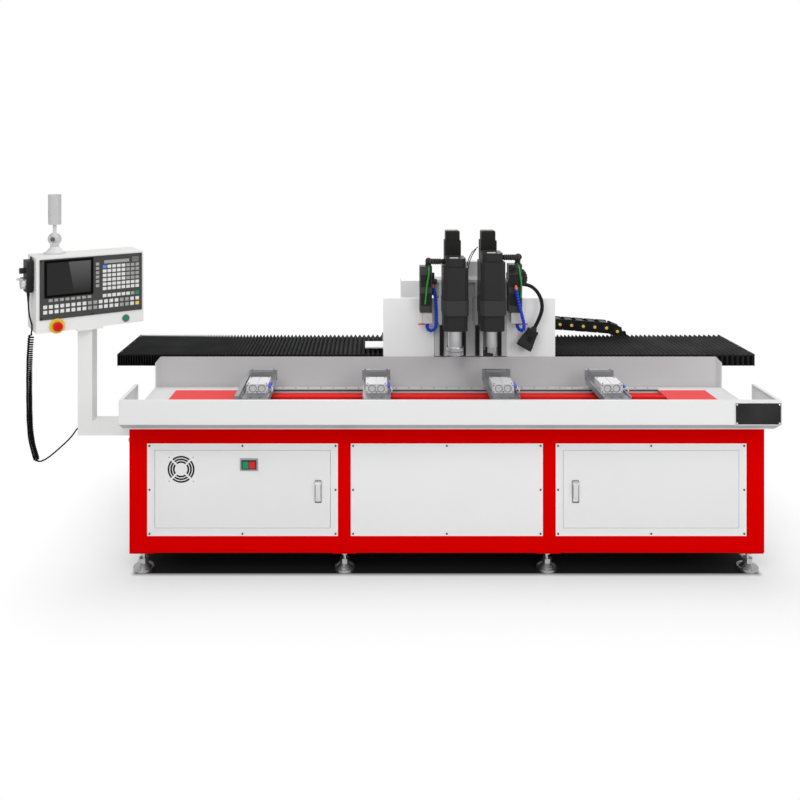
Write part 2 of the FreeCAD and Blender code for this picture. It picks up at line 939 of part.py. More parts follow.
def make_fan_rotor():
    y0 = fan_front_y() + rotor_front_gap
    hub = rod(rotor_hub_r, rotor_hub_h, fan_x, y0, fan_z, Y_AXIS)
    hub_back = fan_front_y() + fan_depth - y0
    pin = rod(rotor_pin_r, hub_back, fan_x, y0, fan_z, Y_AXIS)
    blades = []
    mid_y = y0 + rotor_hub_h / 2
    root = rotor_hub_r - blade_t
    for index in range(rotor_blades):
        blade = box(-blade_t / 2, blade_t / 2, -blade_chord / 2, blade_chord / 2, root, rotor_r)
        blade.rotate(vec(0, 0, 0), Z_AXIS, blade_pitch)
        blade.rotate(vec(0, 0, 0), Y_AXIS, full_turn * index / rotor_blades)
        blade.translate(vec(fan_x, mid_y, fan_z))
        blades.append(blade)
    return hub.fuse([pin] + blades)


def switch_button_places():
    return [switch_x - switch_button_pitch / 2, switch_x + switch_button_pitch / 2]


def switch_button_block(x, y0, y1, gap):
    half_wide = switch_button_w / 2 + gap
    half_high = switch_button_h / 2 + gap
    return box(x - half_wide, x + half_wide, y0, y1, switch_z - half_high, switch_z + half_high)


def make_switch_plate():
    front = door_face_y - switch_plate_t
    plate = box(switch_x - switch_w / 2, switch_x + switch_w / 2, front, door_face_y,
                switch_z - switch_h / 2, switch_z + switch_h / 2)
    block_y = door_face_y + sheet
    block_back = block_y + switch_block_depth
    block = box(switch_x - switch_block_w / 2, switch_x + switch_block_w / 2, block_y, block_back,
                switch_z - switch_block_h / 2, switch_z + switch_block_h / 2)
    for x in switch_button_places():
        plate = plate.cut(switch_button_block(x, front - overrun, door_face_y + overrun, run_gap))
        block = block.cut(switch_button_block(x, block_y - overrun, block_back - sheet, run_gap))
    return group([plate, block])


def make_switch_button(x):
    front = door_face_y - switch_plate_t - switch_button_out
    back = door_face_y + sheet + switch_travel
    return switch_button_block(x, front, back, 0)


# Trough, bed and beam
def offset_profile(points, wall):
    """The same open outline moved by one wall to its left, with mitred corners."""
    moved = []
    count = len(points)
    for index, (y, z) in enumerate(points):
        normals = []
        for first in (index - 1, index):
            if 0 <= first < count - 1:
                dy = points[first + 1][0] - points[first][0]
                dz = points[first + 1][1] - points[first][1]
                length = math.hypot(dy, dz)
                normals.append((-dz / length, dy / length))
        ny = sum(n[0] for n in normals) / len(normals)
        nz = sum(n[1] for n in normals) / len(normals)
        scale = wall / (ny * ny + nz * nz)
        moved.append((y + ny * scale, z + nz * scale))
    return moved


def make_trough():
    lip_z = apron_top_z - trough_wall
    outer = [
        (trough_front_y + trough_lip, apron_top_z),
        (trough_front_y, apron_top_z),
        (trough_front_y, apron_bottom_z),
        (gutter_front_y, gutter_z),
        (-half_d - trough_wall, gutter_z),
        (-half_d - trough_wall, base_top_z),
        (splash_y + splash_t, base_top_z),
    ]
    inner = offset_profile(outer, trough_wall)
    body = prism_x(outer + inner[::-1], -half_w, half_w)
    end_points = [
        (trough_front_y, apron_top_z),
        (trough_front_y, apron_bottom_z),
        (gutter_front_y, gutter_z),
        (-half_d - trough_wall, gutter_z),
        (-half_d - trough_wall, base_top_z),
        (end_wall_back_y, base_top_z),
        (end_wall_back_y, apron_top_z),
    ]
    pieces = []
    for end in (-1, 1):
        pieces.append(prism_x(end_points, end * half_w, end * (half_w - trough_wall)))
        pieces.append(box(end * half_w, end * (half_w - trough_lip), trough_front_y, end_wall_back_y,
                          lip_z, apron_top_z))
        pieces.append(box(end * half_w, end * (half_w - trough_lip), end_wall_back_y - trough_wall,
                          end_wall_back_y, base_top_z, apron_top_z))
    return body.fuse(pieces)


def make_backsplash():
    """The rear sheet, whose end strips are folded forward."""
    z0 = trough_floor_top_z
    half = half_w - splash_t - splash_strip_w * math.cos(math.radians(splash_fold))
    plate = box(-half, half, splash_y, splash_y + splash_t, z0, splash_top_z)
    strips = []
    for end in (-1, 1):
        points = [
            (-splash_t, z0),
            (splash_strip_w, z0),
            (splash_strip_w, splash_top_z - splash_corner),
            (0, splash_top_z),
            (-splash_t, splash_top_z),
        ]
        corners = [vec(end * u, 0, z) for u, z in points]
        strip = Part.Face(Part.makePolygon(corners + corners[:1])).extrude(vec(0, splash_t, 0))
        strip.rotate(vec(0, 0, 0), Z_AXIS, -end * splash_fold)
        strip.translate(vec(end * half, splash_y, 0))
        strips.append(strip)
    return plate.fuse(strips)


def make_bed_plates():
    z0 = trough_floor_top_z
    solids = [
        box(-bed_half_w, bed_left_step_x, bed_front_y, bed_high_back_y, z0, bed_high_z),
        box(bed_left_step_x, bed_right_step_x, bed_front_y, bed_back_y, z0, bed_low_z),
        box(bed_right_step_x, bed_half_w, bed_front_y, bed_high_back_y, z0, bed_high_z),
        box(bed_left_step_x, bed_right_step_x, ridge_y - ridge_w / 2, ridge_y + ridge_w / 2,
            bed_low_z, bed_low_z + ridge_h),
    ]
    return group(solids)


def make_linear_rails():
    solids = []
    for y in (beam_front_y + x_rail_inset, beam_back_y - x_rail_inset):
        solids.append(box(-x_rail_half_len, x_rail_half_len, y - rail_w / 2, y + rail_w / 2,
                          strip_top_z, x_rail_top_z))
    for y in (clamp_rail_front_y, clamp_rail_back_y):
        solids.append(box(bed_left_step_x, bed_right_step_x, y - rail_w / 2, y + rail_w / 2,
                          bed_low_z, clamp_rail_top_z))
    return group(solids)


def make_x_beam():
    floor_z = base_top_z + beam_wall
    roof_z = beam_top_z - beam_wall
    strip_left = bellows_plate_t - bellows_end_x["left"]
    strip_right = bellows_end_x["right"] - bellows_plate_t
    solids = [
        box(-half_w, half_w, beam_front_y, beam_back_y, base_top_z, floor_z),
        box(-half_w, half_w, beam_front_y, beam_back_y, roof_z, beam_top_z),
        box(-half_w, half_w, beam_front_y, beam_front_y + beam_wall, floor_z, roof_z),
        box(-half_w, half_w, beam_back_y - beam_wall, beam_back_y, floor_z, roof_z),
        box(strip_left, strip_right, beam_front_y, beam_front_y + strip_w, beam_top_z, strip_top_z),
        box(strip_left, strip_right, beam_back_y - strip_w, beam_back_y, beam_top_z, strip_top_z),
    ]
    block_half = x_block_l / 2
    inner_end = x_block_centre - block_half
    for end in (-1, 1):
        x = end * x_block_centre
        web = box(end * half_w, end * (x_block_centre + block_half), beam_front_y + strip_w,
                  beam_back_y - strip_w, beam_top_z - beam_wall, beam_top_z)
        block = box(x - block_half, x + block_half, beam_mid_y - x_block_w / 2, beam_mid_y + x_block_w / 2,
                    beam_top_z, beam_top_z + x_block_h)
        solids += [web, block]
    solids.append(rod(x_screw_r, 2 * inner_end, -inner_end, beam_mid_y, x_screw_z, X_AXIS))
    return group(solids)


def make_bellows(side):
    sign = signs[side]
    near = saddle_left_x if side == "left" else saddle_right_x
    far = sign * (bellows_end_x[side] - bellows_plate_t)
    outer = box(near, far, bellows_front_y, bellows_back_y, bellows_bottom_z, bellows_top_z)
    inner = box(near - sign * overrun, far + sign * overrun, bellows_front_y + bellows_wall,
                bellows_back_y - bellows_wall, bellows_bottom_z - overrun, bellows_top_z - bellows_wall)
    hood = outer.cut(inner)
    end_x = sign * bellows_end_x[side]
    plate = box(far, end_x, bellows_front_y, bellows_back_y, bellows_bottom_z, bellows_top_z)
    return group([hood, plate])


# Saddle
def make_saddle_plate():
    plate = box(saddle_left_x, saddle_right_x, saddle_front_y, saddle_back_y, saddle_z, saddle_top_z)
    solids = [plate]
    ends = [
        (saddle_left_x, saddle_left_x + saddle_end_t),
        (saddle_right_x - saddle_end_t, saddle_right_x),
    ]
    for near, far in ends:
        solids.append(box(near, far, bellows_front_y, saddle_front_y, saddle_end_z, saddle_end_top_z))
        solids.append(box(near, far, saddle_back_y, bellows_back_y, saddle_end_z, saddle_end_top_z))
        solids.append(box(near, far, bellows_front_y, bellows_back_y, saddle_end_z, saddle_z))
    for y in (beam_front_y + x_rail_inset, beam_back_y - x_rail_inset):
        for centre in (saddle_left_x + carriage_inset, saddle_right_x - carriage_inset):
            half_l = carriage_l / 2
            half_slot = rail_w / 2 + run_gap
            block = box(centre - half_l, centre + half_l, y - carriage_w / 2, y + carriage_w / 2,
                        strip_top_z + carriage_gap, saddle_z)
            slot = box(centre - carriage_l, centre + carriage_l, y - half_slot, y + half_slot,
                       strip_top_z, x_rail_top_z + run_gap)
            solids.append(block.cut(slot))
    house_half = x_nut_house_len / 2
    house = box(x_nut_centre_x - house_half, x_nut_centre_x + house_half, beam_mid_y - x_block_w / 2,
                beam_mid_y + x_block_w / 2, x_screw_z - x_nut_flange_r, saddle_z)
    bore = rod(x_nut_r + pin_gap, x_nut_house_len, x_nut_centre_x - house_half, beam_mid_y, x_screw_z, X_AXIS)
    solids.append(house.cut(bore))
    for x in y_rail_places():
        solids.append(box(x - rail_w / 2, x + rail_w / 2, saddle_back_y - y_rail_l, saddle_back_y,
                          saddle_top_z, y_rail_top_z))
    motor_x = saddle_right_x - x_motor_right_in
    motor_y = saddle_back_y - x_motor_back_in
    solids.append(box(motor_x - x_motor_w, motor_x, motor_y - x_motor_w, motor_y,
                      saddle_top_z, saddle_top_z + x_motor_l))
    anchor_x = chain_upper_left_x - chain_anchor_t
    chain_back = chain_front_y + chain_w
    chain_top = chain_upper_z + chain_h / 2
    solids.append(box(anchor_x, chain_upper_left_x, saddle_back_y, chain_back, saddle_z, saddle_top_z))
    solids.append(box(anchor_x, chain_upper_left_x, chain_front_y, chain_back, saddle_top_z, chain_top))
    return group(solids)


def y_rail_places():
    return [column_left_x + y_rail_inset, column_right_x - y_rail_inset]


def make_x_nut():
    start = x_nut_centre_x - x_nut_house_len / 2
    body = rod(x_nut_r, x_nut_house_len, start, beam_mid_y, x_screw_z, X_AXIS)
    for x in (start - run_gap - x_nut_flange_t, start + x_nut_house_len + run_gap):
        body = body.fuse(rod(x_nut_flange_r - run_gap, x_nut_flange_t, x, beam_mid_y, x_screw_z, X_AXIS))
    link = rod(x_nut_r, x_nut_len, x_nut_centre_x - x_nut_len / 2, beam_mid_y, x_screw_z, X_AXIS)
    bore = rod(x_screw_r + pin_gap, 2 * x_nut_len, x_nut_centre_x - x_nut_len, beam_mid_y, x_screw_z, X_AXIS)
    return body.fuse(link).cut(bore)


def make_saddle_covers():
    """Folded sheets beside the column, a junction box behind it and a small plate over the bellows."""
    solids = []
    back = cover_front_y + cover_t
    return_y = back + cover_return
    under_top = cover_top_z - cover_t
    outer_foot = saddle_end_t + run_gap
    spans = [
        (saddle_left_x, column_left_x - cover_clear, outer_foot, 0),
        (column_right_x + cover_clear, saddle_right_x, 0, outer_foot),
    ]
    for x0, x1, foot_in_0, foot_in_1 in spans:
        solids.append(box(x0, x1, cover_front_y, back, cover_bottom_z, cover_top_z))
        solids.append(box(x0, x1, back, return_y, under_top, cover_top_z))
        solids.append(box(x0 + foot_in_0, x1 - foot_in_1, back, cover_foot_y,
                          saddle_top_z, saddle_top_z + cover_t))
        solids.append(box(x0, x0 + cover_t, back, return_y, saddle_top_z + cover_t, under_top))
        solids.append(box(x1 - cover_t, x1, back, return_y, saddle_top_z + cover_t, under_top))
    right_x = junction_left_x + junction_w
    box_back = junction_front_y + junction_d
    junction_top_z = junction_z + junction_h
    solids.append(box(junction_left_x, right_x, junction_front_y, box_back, junction_z, junction_top_z))
    solids.append(box(junction_left_x, right_x, box_back, box_back + junction_post_t,
                      saddle_top_z, junction_top_z))
    ledge_y = saddle_front_y + side_plate_front_in
    ledge_right = saddle_left_x + saddle_end_t
    solids.append(box(saddle_left_x - side_plate_l, ledge_right, ledge_y, ledge_y + side_plate_w,
                      saddle_end_top_z, saddle_end_top_z + side_plate_t))
    solids.append(box(saddle_left_x, ledge_right, ledge_y, ledge_y + side_plate_w,
                      saddle_top_z, saddle_end_top_z))
    return group(solids)


# Column
def make_saddle_column():
    plate = box(column_left_x, column_right_x, column_front_y, column_back_y, column_z, column_top_z)
    for x in head_x.values():
        plate = plate.cut(box(x - channel_w / 2, x + channel_w / 2, column_front_y - overrun,
                              column_front_y + channel_d, column_z - overrun, column_top_z + overrun))
    solids = [plate]
    solids.append(box(column_left_x, column_right_x, column_back_y, column_foot_back_y,
                      y_rail_top_z, foot_top_z))
    for x in (column_left_x + gusset_in, column_right_x - gusset_in - gusset_t):
        points = [
            (column_back_y, foot_top_z),
            (column_foot_back_y, foot_top_z),
            (column_back_y + shelf_depth, gusset_top_z),
            (column_back_y, gusset_top_z),
        ]
        solids.append(prism_x(points, x, x + gusset_t))
    solids.append(box(column_left_x + gusset_in, column_right_x - gusset_in, column_back_y,
                      column_back_y + shelf_depth, gusset_top_z, gusset_top_z + shelf_t))
    top = box(column_left_x, column_right_x, top_plate_front_y, top_plate_back_y,
              column_top_z, column_top_z + top_plate_t)
    for x in head_x.values():
        top = top.cut(rod(z_screw_r + run_gap, top_plate_t, x, z_screw_y, column_top_z))
    solids.append(top)
    for side in sides:
        x0 = grey_block_x[side]
        solids.append(box(x0, x0 + grey_block_w[side], valve_front_y + grey_block_in,
                          valve_back_y - grey_block_in, grey_block_z, valve_z))
    shelf_top = gusset_top_z + shelf_t
    solids.append(box(pale_box_x, pale_box_x + pale_box_w, pale_box_y, pale_box_y + pale_box_d,
                      shelf_top, shelf_top + pale_box_h))
    return group(solids)


def make_z_rails():
    solids = []
    bottom = column_z + z_rail_end_in
    top = column_top_z - z_rail_end_in
    count = int((top - bottom) / rail_screw_pitch)
    for x in head_x.values():
        for end in (-1, 1):
            centre = x + end * z_rail_offset
            front = column_front_y - z_rail_t
            rail = box(centre - rail_w / 2, centre + rail_w / 2, front, column_front_y, bottom, top)
            for index in range(count):
                z = bottom + (index + 1 / 2) * rail_screw_pitch
                rail = rail.cut(rod(rail_screw_r, rail_screw_r, centre, front, z, Y_AXIS))
            solids.append(rail)
    return group(solids)


def make_z_motors():
    solids = []
    z0 = column_top_z + top_plate_t
    y0 = z_motor_front_y
    half = z_motor_w / 2
    for x in head_x.values():
        body = box(x - half, x + half, y0, y0 + z_motor_w, z0, z0 + z_motor_h - z_motor_cap_h)
        inset = half - z_motor_cap_in
        mid_y = y0 + half
        cap_z = z0 + z_motor_h - z_motor_cap_h
        cap = box(x - inset, x + inset, mid_y - inset, mid_y + inset, cap_z, z0 + z_motor_h)
        rounded = [edge for edge in cap.Edges if edge.BoundBox.ZMax > cap_z + pin_gap]
        cap = cap.makeFillet(z_motor_cap_r, rounded)
        screw_bottom = column_z + z_screw_bottom_in
        screw = rod(z_screw_r, z0 - screw_bottom, x, z_screw_y, screw_bottom)
        solids.append(body.fuse([cap, screw]))
        foot = box(x - channel_w / 2, x + channel_w / 2, column_front_y, column_front_y + channel_d,
                   column_z, screw_bottom)
        solids.append(foot)
    return group(solids)


def chamfered_block(x, width, y0, y1, z0, z1, chamfer):
    half = width / 2
    points = [
        (x - half, y1),
        (x - half, y0 + chamfer),
        (x - half + chamfer, y0),
        (x + half - chamfer, y0),
        (x + half, y0 + chamfer),
        (x + half, y1),
    ]
    return prism_z(points, z0, z1)


def make_head(side):
    x = head_x[side]
    plate_back = head_plate_y + head_plate_t
    solids = [box(x - head_plate_w / 2, x + head_plate_w / 2, head_plate_y, plate_back,
                  head_plate_z, head_plate_top_z)]
    for end in (-1, 1):
        centre = x + end * z_rail_offset
        block = box(centre - block_w / 2, centre + block_w / 2, plate_back, column_front_y - carriage_gap,
                    block_z, block_z + block_h)
        slot = box(centre - rail_w / 2 - run_gap, centre + rail_w / 2 + run_gap,
                   column_front_y - z_rail_t - run_gap, column_front_y, block_z, block_z + block_h)
        solids.append(block.cut(slot))
    nut = box(x - z_nut_w / 2, x + z_nut_w / 2, plate_back, z_nut_back_y, z_nut_z, z_nut_z + z_nut_h)
    solids.append(nut.cut(rod(z_screw_r + run_gap, z_nut_h, x, z_screw_y, z_nut_z)))
    top = body_top_z[side]
    shoulder = top - body_cap_h
    solids.append(chamfered_block(x, body_w, body_front_y, head_plate_y, body_z, shoulder, body_chamfer))
    solids.append(chamfered_block(x, body_w - 2 * body_cap_in, body_front_y + body_cap_in, head_plate_y,
                                  shoulder, top, body_chamfer))
    solids.append(chamfered_block(x, band_w, band_front_y, head_plate_y, band_z, body_z, body_chamfer))
    neck = chamfered_block(x, neck_w, neck_front_y, head_plate_y, neck_z, band_z, body_chamfer)
    nose = rod(nose_r[side], neck_z - nose_z, x, nose_y, nose_z)
    cavity_l = spindle_up + run_gap
    if side == "left":
        ring = tube(nose_ring_r, chuck_r + run_gap, nose_ring_h, x, nose_y, nose_z - nose_ring_h)
        for index in range(nose_ring_holes):
            angle = full_turn * index / nose_ring_holes
            hole = rod(nose_ring_hole_r, nose_ring_r, chuck_r, 0, nose_z - nose_ring_h / 2, X_AXIS)
            hole.rotate(vec(0, 0, 0), Z_AXIS, angle)
            hole.translate(vec(x, nose_y, 0))
            ring = ring.cut(hole)
        nose = nose.fuse(ring)
    cavity = rod(spindle_r + pin_gap, cavity_l, x, nose_y, nose_z)
    solids += [neck, nose.cut(cavity)]
    return group(solids)


def make_left_chuck():
    x = head_x["left"]
    body = rod(chuck_r, chuck_top_z - chuck_bottom_z, x, nose_y, chuck_bottom_z)
    spindle = rod(spindle_r, spindle_up, x, nose_y, chuck_top_z)
    drill = rod(drill_r, chuck_bottom_z - drill_tip_z - drill_tip_h, x, nose_y, drill_tip_z + drill_tip_h)
    tip = Part.makeCone(0, drill_r, drill_tip_h, vec(x, nose_y, drill_tip_z))
    return body.fuse([spindle, drill, tip])


def make_right_chuck():
    x = head_x["right"]
    body = rod(collet_r, nose_z - collet_bottom_z, x, nose_y, collet_bottom_z)
    spindle = rod(spindle_r, spindle_up, x, nose_y, nose_z)
    bore = rod(collet_bore_r, collet_bore_l, x, nose_y, collet_bottom_z)
    return body.fuse(spindle).cut(bore)


def make_coolant_valves():
    solids = []
    for side in sides:
        x0 = valve_box_x[side]
        x1 = x0 + valve_box_w[side]
        solids.append(box(x0, x1, valve_front_y, valve_back_y, valve_z, valve_box_top_z[side]))
        edge = column_left_x if side == "left" else column_right_x
        reach = (x0 + x1) / 2
        solids.append(box(edge, reach, valve_back_y, valve_bracket_back_y,
                          valve_bracket_z, valve_bracket_z + valve_bracket_h))
    return group(solids)


def make_valve_lever(side):
    sign = signs[side]
    x = lever_hub_x[side]
    hub = rod(lever_hub_r, lever_hub_h, x, valve_lever_y, grey_block_z - lever_hub_h)
    arm_z0 = grey_block_z - lever_hub_h
    arm = box(x, x + sign * valve_lever_len[side], valve_lever_y - valve_lever_w / 2,
              valve_lever_y + valve_lever_w / 2, arm_z0, arm_z0 + valve_lever_t)
    return hub.fuse(arm)


def make_coolant_hoses():
    solids = []
    low_z = grey_block_z - hose_drop
    for side in sides:
        x = hose_x[side]
        r = hose_turn_r[side]
        if side == "left":
            far = (x + 2 * r, valve_lever_y)
        else:
            far = (x, valve_lever_y - 2 * r)
        route = [
            (x, valve_lever_y, grey_block_z),
            (x, valve_lever_y, low_z - r),
            (far[0], far[1], low_z - r),
            (far[0], far[1], hose_top_z),
        ]
        hose = held_tube(route, r, hose_r)
        tip = Part.makeCone(hose_r, nozzle_tip_r, nozzle_h, vec(far[0], far[1], hose_top_z))
        solids.append(hose.fuse(tip))
    return group(solids)


def make_conduits():
    """A conduit from each head's side, back and down onto its valve box."""
    solids = []
    for side in sides:
        sign = signs[side]
        z = body_top_z[side] - conduit_drop[side]
        start_x = head_x[side] + sign * (body_w / 2 - body_cap_in)
        leave_x = start_x + sign * gland_h
        drop_x = conduit_drop_x[side]
        y = head_plate_y - body_w / 4
        top = valve_box_top_z[side]
        end_y = (valve_front_y + valve_back_y) / 2
        gland = rod(gland_r, gland_h, start_x, y, z, X_AXIS * sign)
        route = [(leave_x, y, z), (drop_x, y, z), (drop_x, end_y, z), (drop_x, end_y, top)]
        turn = min(conduit_turn_r, z - top, (end_y - y) / 2, abs(drop_x - leave_x))
        solids.append(gland.fuse(held_tube(route, turn, conduit_r)))
    return group(solids)


def make_tool_plug():
    """A flat connector hood that widens to its mouth, in line with the end of the cable."""
    end = vec(*tool_cable_route[-1])
    heading = end - vec(*tool_cable_route[-2])
    heading.normalize()
    across = heading.cross(Y_AXIS)
    across.normalize()
    depth = across.cross(heading)
    near = end - depth * (tool_plug_t / 2)
    far = near + heading * tool_plug_len
    half = tool_plug_w / 2
    mouth_half = tool_plug_mouth_w / 2
    corners = [
        near - across * half,
        near + across * half,
        far + across * mouth_half,
        far - across * mouth_half,
    ]
    return Part.Face(Part.makePolygon(corners + corners[:1])).extrude(depth * tool_plug_t)


# Cable chain
def make_chain_upper():
    half = chain_h / 2
    points = [
        (chain_upper_left_x, chain_upper_z - half),
        (chain_bend_x, chain_upper_end_z - half),
        (chain_bend_x, chain_upper_end_z + half),
        (chain_upper_left_x, chain_upper_z + half),
    ]
    corners = [vec(x, chain_front_y, z) for x, z in points]
    face = Part.Face(Part.makePolygon(corners + corners[:1]))
    return face.extrude(vec(0, chain_w, 0))


def make_chain_lower():
    half = chain_h / 2
    return box(chain_lower_left_x, chain_bend_x, chain_front_y, chain_front_y + chain_w,
               chain_lower_z - half, chain_lower_z + half)


def make_chain_bend():
    mid_z = (chain_upper_end_z + chain_lower_z) / 2
    outer_r = (chain_upper_end_z - chain_lower_z) / 2 + chain_h / 2
    inner_r = outer_r - chain_h
    bend = tube(outer_r, inner_r, chain_w, chain_bend_x, chain_front_y, mid_z, Y_AXIS)
    return bend.cut(box(chain_bend_x - outer_r - overrun, chain_bend_x,
                        chain_front_y - overrun, chain_front_y + chain_w + overrun,
                        mid_z - outer_r - overrun, mid_z + outer_r + overrun))


# Clamps
def make_clamp_base(x, has_stop):
    half = clamp_w / 2
    top_z = clamp_z + clamp_t
    plate = box(x - half, x + half, clamp_front_y, clamp_back_y, clamp_z, top_z)
    rear_jaw_y = clamp_back_y - rear_jaw_t
    for sx in (-1, 1):
        for y in (clamp_front_y + clamp_screw_in, rear_jaw_y - clamp_screw_in):
            plate = plate.cut(rod(clamp_screw_r, clamp_t / 2, x + sx * clamp_screw_pitch / 2, y, top_z - clamp_t / 2))
    solids = [plate]
    half_l = clamp_carriage_l / 2
    half_slot = rail_w / 2 + run_gap
    for y in (clamp_rail_front_y, clamp_rail_back_y):
        block = box(x - half_l, x + half_l, y - clamp_carriage_w / 2, y + clamp_carriage_w / 2,
                    bed_low_z + clamp_carriage_gap, clamp_z)
        slot = box(x - clamp_carriage_l, x + clamp_carriage_l, y - half_slot, y + half_slot,
                   bed_low_z, clamp_rail_top_z + run_gap)
        solids.append(block.cut(slot))
    for sx in (-1, 1):
        solids.append(box(x + sx * (half - clamp_edge_w), x + sx * half, clamp_front_y, rear_jaw_y,
                          top_z, top_z + clamp_edge_h))
    solids.append(box(x - rear_jaw_w / 2, x + rear_jaw_w / 2, rear_jaw_y, clamp_back_y,
                      top_z, rear_jaw_top_z))
    solids.append(box(x - rear_pad_w / 2, x + rear_pad_w / 2, rear_jaw_y - rear_pad_t, rear_jaw_y,
                      rear_pad_z, rear_pad_z + rear_pad_h))
    if has_stop:
        solids.append(box(x - half - stop_bar_w, x - half, stop_bar_front_y, stop_bar_back_y,
                          clamp_z, stop_bar_top_z))
    return group(solids)


def make_clamp_jaw(x):
    half = jaw_w / 2
    z0 = clamp_z + clamp_t + jaw_slot_gap
    block = box(x - half, x + half, jaw_front_y, jaw_back_y, z0, jaw_top_z)
    mid_z = (z0 + jaw_top_z) / 2
    for sx in (-1, 1):
        hole_x = x + sx * jaw_hole_pitch / 2
        block = block.cut(rod(jaw_hole_r, jaw_hole_d, hole_x, jaw_front_y, mid_z, Y_AXIS))
    groove_half = jaw_groove_w / 2
    return block.cut(box(x - groove_half, x + groove_half, jaw_front_y - overrun, jaw_back_y + overrun,
                         jaw_top_z - jaw_groove_d, jaw_top_z + overrun))


# Arm, control box, lamp and pendant
def to_box(shape):
    """Places a shape made about the box's own axes, along its face, inward and up."""
    shape.rotate(vec(0, 0, 0), Z_AXIS, box_yaw)
    shape.translate(vec(box_x, box_y, 0))
    return shape


def make_arm_tube():
    post_x = arm_left_x + arm_w
    across = arm_front_y + arm_w
    level = box(arm_left_x, -half_w, arm_front_y, across, arm_z, arm_z + arm_h)
    level = level.cut(box(arm_left_x + arm_wall, -half_w, arm_front_y + arm_wall, across - arm_wall,
                          arm_z + arm_wall, arm_z + arm_h - arm_wall))
    post = box(arm_left_x, post_x, arm_front_y, across, arm_z + arm_h, post_top_z)
    post = post.cut(box(arm_left_x + arm_wall, post_x - arm_wall, arm_front_y + arm_wall, across - arm_wall,
                        arm_z + arm_h, post_top_z))
    mid_x = arm_left_x + arm_w / 2
    mid_y = arm_front_y + arm_w / 2
    flange = box(-flange_w / 2, flange_w / 2, -flange_w / 2, flange_w / 2, post_top_z, post_top_z + flange_t)
    flange.rotate(vec(0, 0, 0), Z_AXIS, box_yaw)
    flange.translate(vec(mid_x, mid_y, 0))
    return group([level, post, flange])


def make_control_box():
    half = box_w / 2
    deep = box_d / 2
    shell = box(-half, half, -deep, deep, box_z, box_top_z)
    shell = shell.cut(box(-half + sheet, half - sheet, -deep + sheet, deep - sheet,
                          box_z + sheet, box_top_z - sheet))
    opening = box(-panel_left + panel_seat, panel_right - panel_seat, -deep - overrun, -deep + overrun,
                  box_z + panel_bottom_in + panel_seat, box_top_z - panel_top_in - panel_seat)
    shell = shell.cut(opening)
    estop_z = box_z + estop_up
    start_z = box_z + start_up
    shell = shell.cut(rod(estop_stem_r + pin_gap, 2 * overrun, estop_u, -deep - overrun, estop_z, Y_AXIS))
    shell = shell.cut(rod(start_r + pin_gap, 2 * overrun, start_u, -deep - overrun, start_z, Y_AXIS))
    estop_ring = tube(estop_ring_r, estop_stem_r + pin_gap, estop_ring_t, estop_u, -deep - estop_ring_t,
                      estop_z, Y_AXIS)
    start_ring = tube(start_ring_r, start_r + pin_gap, start_ring_t, start_u, -deep - start_ring_t,
                      start_z, Y_AXIS)
    unit_z = box_z + panel_bottom_in + panel_seat
    unit = box(-unit_w / 2, unit_w / 2, deep - sheet - unit_d, deep - sheet, unit_z, unit_z + unit_h)
    return to_box(group([shell, estop_ring, start_ring, unit]))


def make_control_panel():
    deep = box_d / 2
    z0 = box_z + panel_bottom_in
    z1 = box_top_z - panel_top_in
    panel = box(-panel_left, panel_right, -deep - panel_t, -deep, z0, z1)
    lcd_x = -panel_left + lcd_left_in
    lcd_top = z1 - lcd_top_in
    bezel = box(lcd_x, lcd_x + lcd_w, -deep - panel_t - lcd_bezel_t, -deep - panel_t,
                lcd_top - lcd_h, lcd_top)
    return to_box(panel.fuse(bezel))


def make_estop_button():
    deep = box_d / 2
    z = box_z + estop_up
    head_y = -deep - estop_ring_t - estop_stand - estop_head_h
    head = rod(estop_head_r, estop_head_h, estop_u, head_y, z, Y_AXIS)
    stem_len = estop_head_h + estop_stand + estop_ring_t + button_tail
    stem = rod(estop_stem_r, stem_len, estop_u, head_y, z, Y_AXIS)
    return to_box(head.fuse(stem))


def make_start_button():
    deep = box_d / 2
    z = box_z + start_up
    front = -deep - start_ring_t - start_out
    return to_box(rod(start_r, start_out + start_ring_t + button_tail, start_u, front, z, Y_AXIS))


def lamp_ring_z():
    return box_top_z + lamp_flange_t + lamp_cone_h + lamp_collar_h + lamp_ring_r


def make_lamp_base():
    flange = rod(lamp_flange_r, lamp_flange_t, lamp_u, lamp_v, box_top_z)
    cone_z = box_top_z + lamp_flange_t
    cone = Part.makeCone(lamp_cone_r, lamp_cone_top_r, lamp_cone_h, vec(lamp_u, lamp_v, cone_z))
    return to_box(flange.fuse(cone))


def make_lamp_elbow():
    collar_z = box_top_z + lamp_flange_t + lamp_cone_h
    ring_z = lamp_ring_z()
    collar = rod(lamp_collar_r, lamp_collar_h + lamp_ring_w / 2, lamp_u, lamp_v, collar_z)
    ring = rod(lamp_ring_r, lamp_ring_w, lamp_u, lamp_v - lamp_ring_w / 2, ring_z, Y_AXIS)
    neck = rod(lamp_neck_r, lamp_pivot_z - ring_z, lamp_u, lamp_v, ring_z)
    eye = rod(lamp_eye_r, lamp_eye_w, lamp_u, lamp_v - lamp_eye_w / 2, lamp_pivot_z, Y_AXIS)
    bore = rod(lamp_pin_r + pin_gap, lamp_eye_w, lamp_u, lamp_v - lamp_eye_w / 2, lamp_pivot_z, Y_AXIS)
    return to_box(collar.fuse([ring, neck, eye]).cut(bore))


